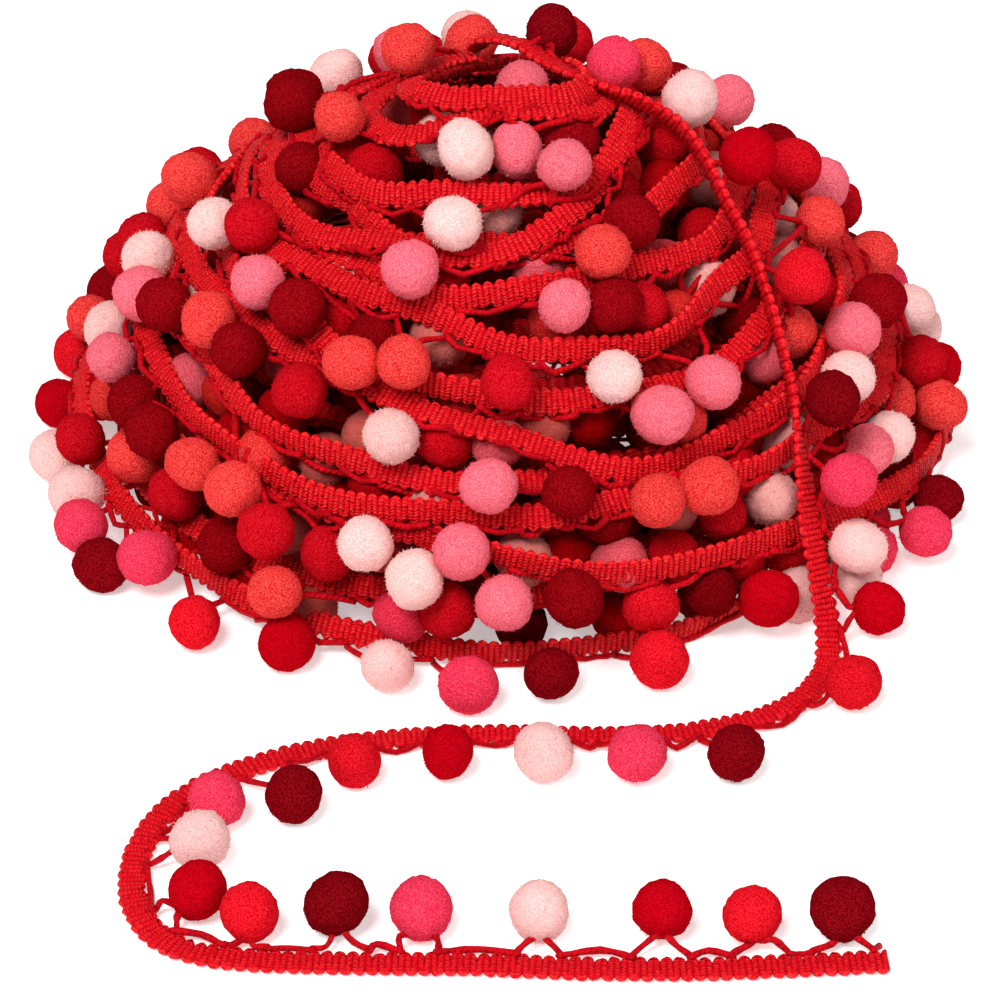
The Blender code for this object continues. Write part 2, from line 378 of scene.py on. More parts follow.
@dataclass(frozen=True)
class CutPileFinish:
    """Cut acrylic yarn pile, clipped to a ball: dense, velvety and matt.

    The pile's cut ends give a fine speckle of lighter and darker points, and its sheen a soft rim.
    Each pompom has a slightly different tone, kept as an attribute of its points: partly random, and
    partly painted shade that darkens the pompoms deep in the heap.

    Attributes:
        colour: Colour of the cut ends.
        speck: Colour between the cut ends.
        painted_bounce: Painted reflected light: what the colour is multiplied by deep between the turns.
        sheen: Weight of the soft rim.
        grain: Size of a tuft end, drawn coarser than single fibres so that it shows.
        tuft_scale: How fine the tufts are, as a part of how fine the cut ends are.
        relief: Depth of the pile's grain.
    """

    colour: str
    speck: str
    painted_bounce: str = "#F0A49C"
    sheen: float = 0.05
    grain: float = 0.27
    tuft_scale: float = 0.22
    relief: float = 0.17

    def material(self, name: str) -> bpy.types.Material:
        """Build the pile's material.

        Args:
            name: The material's name.

        Returns:
            The material.
        """
        material, shader = new_material(name, {
            "Roughness": 0.95, "Specular IOR Level": 0.0, "Sheen Weight": self.sheen,
            "Sheen Roughness": 0.4, "Sheen Tint": linear_colour(self.colour)})
        tree = material.node_tree
        spot = add_node(tree, "ShaderNodeTexCoord")
        # Two grains: single cut ends, and the small tufts that the plies of the yarn make.
        ends = add_node(tree, "ShaderNodeTexNoise",
                        values={"Scale": 1 / (self.grain * MM), "Detail": 1.0},
                        links={"Vector": spot.outputs["Object"]})
        tufts = add_node(tree, "ShaderNodeTexNoise",
                         values={"Scale": self.tuft_scale / (self.grain * MM), "Detail": 1.0},
                         links={"Vector": spot.outputs["Object"]})
        height = add_node(tree, "ShaderNodeMath", operation="MULTIPLY_ADD",
                          values={1: 0.9}, links={0: tufts.outputs["Fac"], 2: ends.outputs["Fac"]})
        relief = add_node(tree, "ShaderNodeBump", values={"Strength": 1.0, "Distance": self.relief * MM},
                          links={"Height": height.outputs[0]})
        speck = add_node(tree, "ShaderNodeMapRange",
                         values={"From Min": 0.40, "From Max": 0.60, "To Min": 0.0, "To Max": 1.0},
                         links={"Value": ends.outputs["Fac"]})
        mix = add_node(tree, "ShaderNodeMix", data_type="RGBA",
                       values={6: linear_colour(self.speck), 7: linear_colour(self.colour)},
                       links={0: speck.outputs["Result"]})
        tone = add_node(tree, "ShaderNodeAttribute", attribute_name="tone", attribute_type="GEOMETRY")
        # Deep between the turns the pile gets painted reflected light: a redder colour, as if from its red
        # neighbours.
        depth = add_node(tree, "ShaderNodeMapRange",
                         values={"From Min": 0.70, "From Max": 0.95, "To Min": 1.0, "To Max": 0.0},
                         links={"Value": tone.outputs["Fac"]})
        painted_bounce_colour = add_node(tree, "ShaderNodeMix", data_type="RGBA", blend_type="MULTIPLY",
                            values={7: linear_colour(self.painted_bounce)},
                            links={0: depth.outputs["Result"], 6: mix.outputs[2]})
        # The tone darkens the colour: its random part and its painted shade together.
        colour = add_node(tree, "ShaderNodeHueSaturation",
                          links={"Color": painted_bounce_colour.outputs[2], "Value": tone.outputs["Fac"]})
        tree.links.new(colour.outputs["Color"], shader.inputs["Base Color"])
        tree.links.new(relief.outputs["Normal"], shader.inputs["Normal"])
        return material


# The free end's braid gets dimmer painted highlights and a slightly deeper colour than the heap's.
BRAIDS = {
    "heap braid": GimpBraidFinish(),
    "tail braid": GimpBraidFinish(painted_highlight="#E62E32", colour="#CE0719"),
}
# The heap's high pompoms get a lighter, paler copy of each yarn colour than the free end's and those
# of the lowest turn: painted light.
PAINTED_LIGHT_HEAP_PILES = {
    YarnColour.HOT_PINK: CutPileFinish("#F07884", "#D84E62"),
    YarnColour.PALE_PINK: CutPileFinish("#F2CAC6", "#E8ABA5", painted_bounce="#E88078"),
    YarnColour.RED: CutPileFinish("#CA1724", "#A2000C"),
    YarnColour.CORAL: CutPileFinish("#F24F4A", "#C61C1E"),
    YarnColour.BURGUNDY: CutPileFinish("#920D16", "#6C0005"),
}
TAIL_PILES = {
    YarnColour.HOT_PINK: CutPileFinish("#EC4662", "#D01E3E"),
    YarnColour.PALE_PINK: CutPileFinish("#EFC4C1", "#E6ABA6", painted_bounce="#E88078"),
    YarnColour.RED: CutPileFinish("#C00618", "#9C000C"),
    YarnColour.CORAL: CutPileFinish("#E4202C", "#BA0212"),
    YarnColour.BURGUNDY: CutPileFinish("#860C16", "#5C0006"),
}


def smooth_line(knots: np.ndarray, samples: int) -> np.ndarray:
    """Read points from a smooth curve that passes through every knot.

    Args:
        knots: The knots, one row each, with any number of columns.
        samples: How many points to read for each knot.

    Returns:
        The points, the last knot included.
    """
    ends = np.vstack([2 * knots[:1] - knots[1:2], knots, 2 * knots[-1:] - knots[-2:-1]])
    before, start, end, after = ends[:-3, None], ends[1:-2, None], ends[2:-1, None], ends[3:, None]
    t = (np.arange(samples) / samples)[None, :, None]
    curve = 0.5 * (2 * start + (end - before) * t
                   + (2 * before - 5 * start + 4 * end - after) * t ** 2
                   + (3 * start - before - 3 * end + after) * t ** 3)
    return np.vstack([curve.reshape(-1, knots.shape[1]), knots[-1:]])


def unit(vectors: np.ndarray) -> np.ndarray:
    """Scale each row to a length of 1."""
    return vectors / np.maximum(np.linalg.norm(vectors, axis=-1, keepdims=True), 1e-9)


@dataclass
class Route:
    """A line that the braid follows, with the directions of its pompom side and its flat face.

    Attributes:
        points: Points of the braid's middle, evenly spaced.
        facing: Wished direction of the flat face at each point.
        distance: Distance along the line at each point.
        along: Direction of the line at each point.
        side: Direction to the pompom edge at each point.
        face: Direction out of the flat face at each point.
    """

    points: np.ndarray
    facing: np.ndarray
    distance: np.ndarray = field(init=False)
    along: np.ndarray = field(init=False)
    side: np.ndarray = field(init=False)
    face: np.ndarray = field(init=False)

    def __post_init__(self) -> None:
        """Work out the distance and the directions at each point."""
        steps = np.linalg.norm(np.diff(self.points, axis=0), axis=1)
        self.distance = np.concatenate([[0.0], np.cumsum(steps)])
        self.along = unit(np.gradient(self.points, axis=0))
        self.side = unit(np.cross(self.facing, self.along))
        self.face = np.cross(self.along, self.side)

    @classmethod
    def evenly(cls, points: np.ndarray, facing: np.ndarray, step: float = 1.0) -> "Route":
        """Make a route whose points are evenly spaced.

        Args:
            points: Points of the line at any spacing.
            facing: The wished face direction at each of them.
            step: The new spacing.

        Returns:
            The route.
        """
        reach = np.concatenate([[0.0], np.cumsum(np.linalg.norm(np.diff(points, axis=0), axis=1))])
        wanted = np.linspace(0.0, reach[-1], max(2, round(reach[-1] / step) + 1))
        columns = [np.interp(wanted, reach, both) for both in np.hstack([points, facing]).T]
        return cls(np.stack(columns[:3], axis=1), unit(np.stack(columns[3:], axis=1)))

    @property
    def length(self) -> float:
        """The whole length of the line."""
        return float(self.distance[-1])

    def at(self, where: np.ndarray) -> tuple[np.ndarray, np.ndarray, np.ndarray, np.ndarray]:
        """Read the middle and directions at distances along the line.

        Args:
            where: The distances.

        Returns:
            The points, the directions along, to the pompom side and out of the face.
        """
        table = np.hstack([self.points, self.along, self.side, self.face])
        read = np.stack([np.interp(where, self.distance, column) for column in table.T], axis=1)
        return read[:, :3], unit(read[:, 3:6]), unit(read[:, 6:9]), unit(read[:, 9:])

    def nearest(self, point: np.ndarray) -> float:
        """Give the distance along the line of its nearest point to a place."""
        return float(self.distance[np.argmin(np.linalg.norm(self.points - point, axis=1))])


class MeshBatch:
    """Points and faces of one piece, collected before its mesh is made.

    Attributes:
        points: Blocks of points.
        marks: Two pattern coordinates and the tone of each point, in the same blocks.
        faces: Blocks of faces, as rows of point numbers.
        count: How many points there are so far.
    """

    def __init__(self) -> None:
        """Start an empty batch."""
        self.points: list[np.ndarray] = []
        self.marks: list[np.ndarray] = []
        self.faces: list[np.ndarray] = []
        self.count = 0

    def add(self, points: np.ndarray, faces: np.ndarray, marks: np.ndarray) -> None:
        """Add a shape.

        Args:
            points: Its points, one row each.
            faces: Its faces, one row of point numbers each.
            marks: Two pattern coordinates and the tone of each point.
        """
        self.points.append(points)
        self.marks.append(marks)
        self.faces.append(faces + self.count)
        self.count += len(points)

    def build(self, name: str, material: bpy.types.Material) -> bpy.types.Object:
        """Make the piece's mesh object, in metres.

        Args:
            name: The piece's name.
            material: Its material.

        Returns:
            The object, smooth shaded and linked to the scene.
        """
        corners = np.concatenate([block.ravel() for block in self.faces]).astype(np.int32)
        sizes = np.concatenate([np.full(len(block), block.shape[1]) for block in self.faces])
        starts = np.concatenate([[0], np.cumsum(sizes)[:-1]]).astype(np.int32)
        mesh = bpy.data.meshes.new(name)
        mesh.vertices.add(self.count)
        points = np.vstack(self.points)
        # Nothing reaches under the floor.
        points[:, 2] = np.maximum(points[:, 2], FLOOR_GAP)
        mesh.vertices.foreach_set("co", (points * MM).astype(np.float32).ravel())
        mesh.loops.add(len(corners))
        mesh.loops.foreach_set("vertex_index", corners)
        mesh.polygons.add(len(starts))
        mesh.polygons.foreach_set("loop_start", starts)
        marks = np.vstack(self.marks).astype(np.float32)
        layer = mesh.uv_layers.new(name="pattern")
        layer.data.foreach_set("uv", marks[corners, :2].ravel())
        tone = mesh.attributes.new("tone", "FLOAT", "POINT")
        tone.data.foreach_set("value", np.ascontiguousarray(marks[:, 2]))
        mesh.update(calc_edges=True)
        mesh.validate()
        mesh.shade_smooth()
        mesh.materials.append(material)
        piece = bpy.data.objects.new(name, mesh)
        bpy.context.scene.collection.objects.link(piece)
        log.info("%s: %d triangles", name, int((sizes - 2).sum()))
        return piece


def ring_faces(rings: int, count: int) -> np.ndarray:
    """Give the four-sided faces of a skin over rings of points.

    Args:
        rings: How many rings there are.
        count: How many points each ring has.

    Returns:
        The faces, one row of point numbers each.
    """
    low = (np.arange(rings - 1) * count)[:, None]
    here = np.arange(count)[None, :]
    after = (here + 1) % count
    faces = np.stack([low + here, low + after, low + count + after, low + count + here], axis=-1)
    return faces.reshape(-1, 4)


@dataclass(frozen=True)
class BraidShape:
    """The gimp braid's own shape: a cord laid to and fro across it, so its edges are rows of loops.

    Each strand is joined to the next at one edge and to the one before at the other.

    Attributes:
        width: Width over the strands.
        thickness: Thickness over the strands.
        strand_pitch: Length of braid that a strand takes.
        open_width: Part of the half width that is left at an edge between two loops.
        joined_width: Part of the half width at the tip of a loop.
        loop_power: How blunt the loops are: less than 1 rounds them out.
        gap_depth: Part of the thickness that is left in a gap.
        plain_pitch: How much coarser the strands are deep inside the heap.
        unevenness: How much each strand's two ends and its height vary.
        cinch: How far a tie draws the pompom edge in.
        cinch_length: Length of braid that a tie draws in.
        section: Half widths and half thicknesses around the section.
        plain_section: The same for the braid deep inside the heap.
    """

    width: float = 5.1
    thickness: float = 1.65
    strand_pitch: float = 1.06
    open_width: float = 0.76
    joined_width: float = 1.03
    loop_power: float = 0.55
    gap_depth: float = 0.42
    plain_pitch: float = 1.7
    unevenness: tuple = (0.03, 0.03, 0.06)
    cinch: float = 0.5
    cinch_length: float = 0.9
    section: tuple = ((-1, 0), (-0.88, 0.80), (-0.32, 0.98), (0.32, 0.98), (0.88, 0.80),
                      (1, 0), (0.8, -0.9), (-0.8, -0.9))
    plain_section: tuple = ((-1, 0), (-0.7, 0.95), (0.7, 0.95), (1, 0), (0.7, -0.95), (-0.7, -0.95))

    def ribbon(self, batch: MeshBatch, route: Route, start: float, end: float, detail: int,
               cinched: np.ndarray, draw: np.random.Generator) -> None:
        """Add a stretch of braid to a batch.

        Args:
            batch: The batch that takes it.
            route: The line that the braid follows.
            start: Where the stretch starts along the route.
            end: Where it ends.
            detail: 0 deep inside the heap, 1 in its outer turns, 2 where it lies free.
            cinched: Distances along the route where a tie draws the pompom edge in.
            draw: The source of random numbers.
        """
        # Places along a strand's pitch and how full the braid is there, from a gap to the next one.
        stations = (((0.0, 0.0), (0.5, 1.0)),
                    ((0.0, 0.0), (0.32, 0.94), (0.68, 0.94)),
                    ((0.0, 0.0), (0.22, 0.85), (0.5, 1.0), (0.78, 0.85)))[detail]
        section = np.array(self.section if detail else self.plain_section)
        pitch = self.strand_pitch if detail else self.plain_pitch * self.strand_pitch
        strands = max(2, round((end - start) / pitch))
        pitch = (end - start) / strands
        count = (np.arange(strands)[:, None] + np.array([place for place, _ in stations])).ravel()
        count = np.append(count, strands)
        swell = np.append(np.tile([full for _, full in stations], strands), 0.0)
        strand = np.append(np.repeat(np.arange(strands), len(stations)), strands)
        where = count * pitch + start
        # No two strands are quite the same: each reaches out and stands up by its own bit.
        uneven = draw.normal(0, 1, (strands + 2, 3))[strand] * self.unevenness
        middle, _, side, face = route.at(where)
        odd = (np.round(count) % 2) > 0.5
        wave = 0.5 * np.cos(math.pi * count)
        loop = self.joined_width - self.open_width
        left = self.open_width + loop * (0.5 - wave) ** self.loop_power + uneven[:, 0]
        right = self.open_width + loop * (0.5 + wave) ** self.loop_power + uneven[:, 1]
        share = section[None, :, 0]
        across = np.where(share < 0, share * left[:, None], share * right[:, None]) * self.width / 2
        away = np.abs(where[:, None] - cinched[None, :]).min(axis=1)
        closeness = np.exp(-(away / self.cinch_length) ** 2)
        across = np.where(across > 0, across - self.cinch * closeness[:, None] * share, across)
        # At a joined end the gap between two strands fills up, and at an open end it deepens.
        floor_part = np.minimum(self.gap_depth + (1 - self.gap_depth) * swell, 1.0)
        ends = np.clip((np.abs(share) - 0.5) / 0.38, 0, 1)
        joined = np.where((share < 0) == odd[:, None], 0.92, -0.1) * ends
        full = floor_part[:, None] + (1 - floor_part[:, None]) * joined
        rise = section[None, :, 1] * full * (1 + uneven[:, 2:]) * self.thickness / 2
        skin = middle[:, None] + side[:, None] * across[..., None] + face[:, None] * rise[..., None]
        marks = np.stack(np.broadcast_arrays(count[:, None], across, full), -1)
        corners = len(section)
        batch.add(skin.reshape(-1, 3), ring_faces(len(where), corners), marks.reshape(-1, 3))
        for ring, order in ((0, slice(None, None, -1)), (len(where) - 1, slice(None))):
            batch.add(skin[ring], np.arange(corners)[order][None, :], marks[ring])


def ball_template(frequency: int) -> tuple[np.ndarray, np.ndarray]:
    """Make a unit ball from an icosahedron with each edge divided.

    Args:
        frequency: How many parts each edge is divided into.

    Returns:
        The points on the ball and its triangles.
    """
    gold = (1 + math.sqrt(5)) / 2
    corners = unit(np.array([(-1, gold, 0), (1, gold, 0), (-1, -gold, 0), (1, -gold, 0), (0, -1, gold),
                             (0, 1, gold), (0, -1, -gold), (0, 1, -gold), (gold, 0, -1), (gold, 0, 1),
                             (-gold, 0, -1), (-gold, 0, 1)], dtype=float))
    sides = [(0, 11, 5), (0, 5, 1), (0, 1, 7), (0, 7, 10), (0, 10, 11), (1, 5, 9), (5, 11, 4),
             (11, 10, 2), (10, 7, 6), (7, 1, 8), (3, 9, 4), (3, 4, 2), (3, 2, 6), (3, 6, 8), (3, 8, 9),
             (4, 9, 5), (2, 4, 11), (6, 2, 10), (8, 6, 7), (9, 8, 1)]
    numbers: dict[tuple, int] = {}
    points: list[np.ndarray] = []
    faces: list[tuple[int, int, int]] = []

    def number(weights: tuple[tuple[int, int], ...]) -> int:
        """Give the number of a point of the divided icosahedron, made once.

        Args:
            weights: The number and the weight of each corner that it lies between.

        Returns:
            The point's number.
        """
        key = tuple(sorted(item for item in weights if item[1]))
        if key not in numbers:
            numbers[key] = len(points)
            points.append(sum(corners[corner] * weight for corner, weight in key))
        return numbers[key]

    for a, b, c in sides:
        grid = {(i, j): number(((a, frequency - i - j), (b, i), (c, j)))
                for i in range(frequency + 1) for j in range(frequency + 1 - i)}
        for i in range(frequency):
            for j in range(frequency - i):
                faces.append((grid[i, j], grid[i + 1, j], grid[i, j + 1]))
                if i + j < frequency - 1:
                    faces.append((grid[i + 1, j], grid[i + 1, j + 1], grid[i, j + 1]))
    return unit(np.array(points)), np.array(faces)


@dataclass
class PompomShape:
    """A pompom's own shape: a ball of cut pile, a little lumpy, drawn in or out at its tie.

    Attributes:
        diameter: Usual diameter.
        lumps: How far the clipped surface strays from a ball, as a part of its radius.
        fuzz: How far single cut ends stand out, as a part of its radius.
        fibres: How many stray fibres a pompom that shows has.
        fibre_length: Usual length of a stray fibre.
        fibre_width: Width of a stray fibre at its foot.
        fine_frequency: How many parts each edge of a pompom's icosahedron has where it shows.
        plain_frequency: The same deep inside the heap.
        sizes: Least and greatest part of the usual diameter.
        tones: Least and greatest lightness.
        fibre_lengths: Least and greatest part of the usual length of a stray fibre.
    """

    diameter: float = 10.3
    lumps: float = 0.05
    fuzz: float = 0.019
    fibres: int = 280
    fibre_length: float = 0.5
    fibre_width: float = 0.18
    fine_frequency: int = 6
    plain_frequency: int = 4
    sizes: tuple = (0.93, 1.05)
    tones: tuple = (0.92, 1.06)
    fibre_lengths: tuple = (0.5, 1.4)

    def __post_init__(self) -> None:
        """Make the two ball templates."""
        self.fine_ball = ball_template(self.fine_frequency)
        self.plain_ball = ball_template(self.plain_frequency)

    def ball(self, batch: MeshBatch, centre: np.ndarray, tie: np.ndarray, fine: bool, fluff: float,
             draw: np.random.Generator, painted_shade: float = 1.0) -> None:
        """Add one pompom to a batch.

        Args:
            batch: The batch that takes it.
            centre: Its centre.
            tie: The direction of its tie from the centre.
            fine: Whether it is seen from close by.
            fluff: How many stray fibres it has, as a part of the usual number.
            draw: The source of random numbers.
            painted_shade: How light its colour is kept under the painted shade deep in the heap; 1 for
                none.
        """
        directions, faces = self.fine_ball if fine else self.plain_ball
        waves = unit(draw.normal(size=(6, 3))) * draw.uniform(1.2, 3.6, size=(6, 1))
        shifts = draw.uniform(0, 2 * math.pi, size=6)
        radius = self.diameter / 2 * draw.uniform(*self.sizes)
        long_axis = unit(tie + draw.normal(0, 0.5, 3))
        flat_axis = unit(np.cross(long_axis, draw.normal(size=3)))
        length, flatness = draw.uniform(-0.07, 0.05), draw.uniform(-0.07, 0.01)
        tip = draw.uniform(-0.10, 0.07)

        def surface(rays: np.ndarray) -> np.ndarray:
            """Give the clipped surface's distance from the centre in each direction."""
            form = self.lumps * np.sin(rays @ waves.T + shifts).sum(axis=1) / 2.4
            form = form + length * (rays @ long_axis) ** 2 + flatness * (rays @ flat_axis) ** 2
            return radius * (1 + form + tip * np.exp((rays @ tie - 1) / 0.12))

        reach = surface(directions) * (1 + draw.normal(0, self.fuzz, len(directions)))
        points = directions * reach[:, None]
        # Its tone is random, darkened by the painted shade.
        tone = draw.uniform(*self.tones) * painted_shade
        batch.add(points + centre, faces, np.full((len(points), 3), tone))
        if fine:
            rays = unit(draw.normal(size=(int(self.fibres * fluff), 3)))
            feet = rays * (surface(rays) - 0.1)[:, None]
            lean = unit(rays + draw.normal(0, 0.35, rays.shape))
            across = unit(np.cross(lean, draw.normal(size=rays.shape))) * self.fibre_width / 2
            lengths = self.fibre_length * draw.uniform(*self.fibre_lengths, (len(rays), 1))
            tips = feet + lean * lengths
            blades = np.stack([feet - across, feet + across, tips], axis=1).reshape(-1, 3)
            batch.add(blades + centre, np.arange(len(blades)).reshape(-1, 3),
                      np.full((len(blades), 3), tone))


@dataclass(frozen=True)
class HangerShape:
    """The hanger cord's own shape: it runs along the braid's edge and dips to each pompom.

    Attributes:
        radius: The cord's radius.
        spread: Half the distance between the two feet of a dip.
        edge: How far the braid's edge is from its middle.
        uneven: How much the cord's thickness varies, as a part of its radius.
        margin: How close the cord's feet come to the ends of the line.
        foot_run: How far in from the edge each dip's feet start.
    """

    radius: float = 0.58
    spread: float = 4.6
    edge: float = 2.7
    uneven: float = 0.18
    margin: float = 0.3
    foot_run: float = 0.7

    def knots(self, route: Route, places: np.ndarray, centres: np.ndarray, size: float,
              draw: np.random.Generator) -> np.ndarray:
        """Give the knots of the cord's line: ten for each pompom.

        Args:
            route: The line that the braid follows.
            places: Where along it each pompom hangs.
            centres: The pompoms' centres.
            size: The pompoms' radius.
            draw: The source of random numbers.

        Returns:
            The knots in order.
        """
        count = len(places)
        feet = {}
        for sign in (-1, 1):
            spread = self.spread + draw.uniform(-1.6, 1.4, count)
            where = np.clip(places + sign * spread, self.margin, route.length - self.margin)
            middle, _, side, face = route.at(where)
            feet[sign] = np.stack([middle + side * (self.edge - self.foot_run) + face * 0.9,
                                   middle + side * (self.edge + 0.1) + face * 0.5], axis=1)
        between = np.append((places[1:] + places[:-1]) / 2, places[-1] + self.spread + 1.0)
        middle, _, side, face = route.at(np.clip(between, self.margin, route.length - self.margin))
        slack = draw.uniform(-0.1, 1.3, (count, 1))
        loose = middle + side * (self.edge + slack) + face * draw.uniform(-0.4, 0.8, (count, 1))
        rows = []
        # Down from the braid's edge, round the pompom's tie, and back up.
        for index, centre in enumerate(centres):
            left, right = feet[-1][index, 1], feet[1][index, 1]
            inward = unit((left + right) / 2 - centre)
            apart = unit(right - left) * 0.6
            tie = centre + inward * (size - 0.8)
            sag = draw.normal(0, 0.6, size=(2, 3))
            rows += [feet[-1][index, 0], left, left * 0.45 + (tie - apart) * 0.55 + sag[0],
                     tie - apart, tie - inward * 0.8, tie + apart,
                     right * 0.45 + (tie + apart) * 0.55 + sag[1], right, feet[1][index, 0], loose[index]]
        return np.array(rows)

    def tube(self, batch: MeshBatch, knots: np.ndarray, sides: int, samples: int,
             draw: np.random.Generator) -> None:
        """Add the cord to a batch as a tube through its knots.

        Args:
            batch: The batch that takes it.
            knots: The knots of its line.
            sides: How many sides its section has.
            samples: How many rings each knot gets.
            draw: The source of random numbers.
        """
        line = smooth_line(knots, samples)
        line[:, 2] = np.maximum(line[:, 2], self.radius + 0.05)
        along = unit(np.gradient(line, axis=0))
        first = unit(np.cross(along[0], (0.3, 0.2, 1.0)))
        across = np.empty_like(line)
        for index, direction in enumerate(along):
            first = unit(first - direction * first.dot(direction))
            across[index] = first
        other = np.cross(along, across)
        turn = 2 * math.pi * np.arange(sides) / sides
        reach = np.concatenate([[0.0], np.cumsum(np.linalg.norm(np.diff(line, axis=0), axis=1))])
        ring = (across[:, None] * np.cos(turn)[None, :, None]
                + other[:, None] * np.sin(turn)[None, :, None])
        stray = np.clip(draw.normal(0, 0.6, (len(line), 1, 1)), -1, 1)
        skin = line[:, None] + ring * (self.radius * (1 + self.uneven * stray))
        turned = (np.arange(sides) / sides)[None, :]
        marks = np.stack(np.broadcast_arrays(reach[:, None], turned, 1.0), -1)
        batch.add(skin.reshape(-1, 3), ring_faces(len(line), sides), marks.reshape(-1, 3))
        batch.add(skin[0], np.arange(sides)[::-1][None, :], marks[0])
        batch.add(skin[-1], np.arange(sides)[None, :], marks[-1])


@dataclass(frozen=True)
class Dome:
    """The heap's form: a rounded cone on a round foot.

    Attributes:
        radius: Radius of the outer braid's middle at the floor.
        height: Height of the outer braid's middle at the top.
        rim_power: How full the sides are.
        top_power: How round the top is.
        tightest: Radius of the tightest turn at the top.
    """

    radius: float = 86.0
    height: float = 86.0
    rim_power: float = 1.5
    top_power: float = 1.4
    tightest: float = 3.0

    def spots(self, azimuth: np.ndarray, height: np.ndarray, scale: np.ndarray,
              inset: np.ndarray) -> np.ndarray:
        """Give points of the dome, or of a smaller one inside it.

        Args:
            azimuth: Azimuth of each point.
            height: Height above the floor.
            scale: Size of the dome as a part of the whole.
            inset: How far inside the dome the point is.

        Returns:
            The points.
        """
        share = np.clip(height / (self.height * scale), 0.0, 0.9995)
        radius = self.radius * scale * (1 - share ** self.top_power) ** (1 / self.rim_power) - inset
        radius = np.maximum(radius, self.tightest)
        angle = np.radians(azimuth)
        return np.stack([radius * np.sin(angle), -radius * np.cos(angle), height], axis=-1)

    def outward(self, points: np.ndarray) -> np.ndarray:
        """Give the direction out of the dome at points on or in it.

        Args:
            points: The points, one row each.

        Returns:
            The directions, each 1 long.
        """
        round_part = np.maximum(np.hypot(points[:, 0], points[:, 1]), 1.0)
        slope = (round_part / self.radius) ** (self.rim_power - 1) * self.rim_power / self.radius
        rise = (np.maximum(points[:, 2], 0.0) / self.height) ** (self.top_power - 1)
        rise = rise * self.top_power / self.height
        sideways = points[:, :2] / round_part[:, None] * slope[:, None]
        return unit(np.hstack([sideways, rise[:, None]]))

    def depth(self, points: np.ndarray) -> np.ndarray:
        """Give about how deep inside the dome points lie."""
        share = (np.hypot(points[:, 0], points[:, 1]) / self.radius) ** self.rim_power
        share = share + (np.maximum(points[:, 2], 0) / self.height) ** self.top_power
        return self.radius * (1 - share ** (1 / self.rim_power))


@dataclass(frozen=True)
class Turn:
    """One outer turn of the heap, from the back right round the front to the back left.

    Attributes:
        heights: Height of the braid's middle at each of the winding's stations.
        pink_at: Azimuth where a hot pink pompom hangs.
        insets: How far the braid lies inside the dome at each station.
    """

    heights: tuple
    pink_at: float
    insets: tuple = (0, 0, 0, 0, 0, 0, 0, 0)


# Azimuths at which each outer turn's height is given.
STATIONS = (150, 100, 55, 20, -15, -50, -95, -150)

# The outer turns from the floor up, as they lie in the heap.
OUTER_TURNS = (
    Turn((3.2, 3.2, 3.2, 3.4, 4, 7, 10, 9), -4, (8, 14, 12, 8, 8, 4, 0, 2)),
    Turn((8, 3.2, 15, 20, 25, 24, 20, 17), 0, (0, -3, 0, 0, 2, 5, 2, 0)),
    Turn((22, 24, 28, 30.5, 29.5, 32, 34, 30), -5),
    Turn((33, 34, 34, 33.5, 34.5, 38, 41, 37), 2, (0, 0, 3, 4, 0.5, 0, 0, 0)),
    Turn((41, 41, 37, 35, 44.5, 46.5, 46, 42), -2, (1, 0, 0, 0, 0, 2, 0, 1)),
    Turn((46, 47, 45.5, 43.5, 48, 51, 50, 46), 27, (3, 0, 1, 3, 1, 1, 0, 3)),
    Turn((51, 54, 55, 51.5, 56.5, 57, 55, 51), 38, (4, 1, 0, 0, 0, 0, 1, 4)),
    Turn((56, 59, 59, 60.5, 59.5, 60, 60, 56), 11, (5, 2, 2, 0, 0, 3, 2, 5)),
    Turn((60, 65, 65.5, 65, 66, 62, 59, 60), -20, (6, 2, 3, 3, 0, 0, 2, 6)),
    Turn((64, 74, 75, 69, 63.5, 65, 64, 64), 8, (8, 3, 0, 0, 0, 4, 4, 8)),
    Turn((67, 73, 74, 71.5, 71.5, 69, 67, 67), 12, (10, 5, 0, 0, 0, 0, 4, 10)),
    Turn((71.5, 76, 79, 82, 81, 75.5, 72, 71.5), 25, (13, 8, -2, -6, -4, 0, 6, 13)),
    Turn((76, 79, 82, 83.5, 83.5, 82, 78, 77), 40, (12, 5, -5, -8, -8, -6, 5, 10)),
)


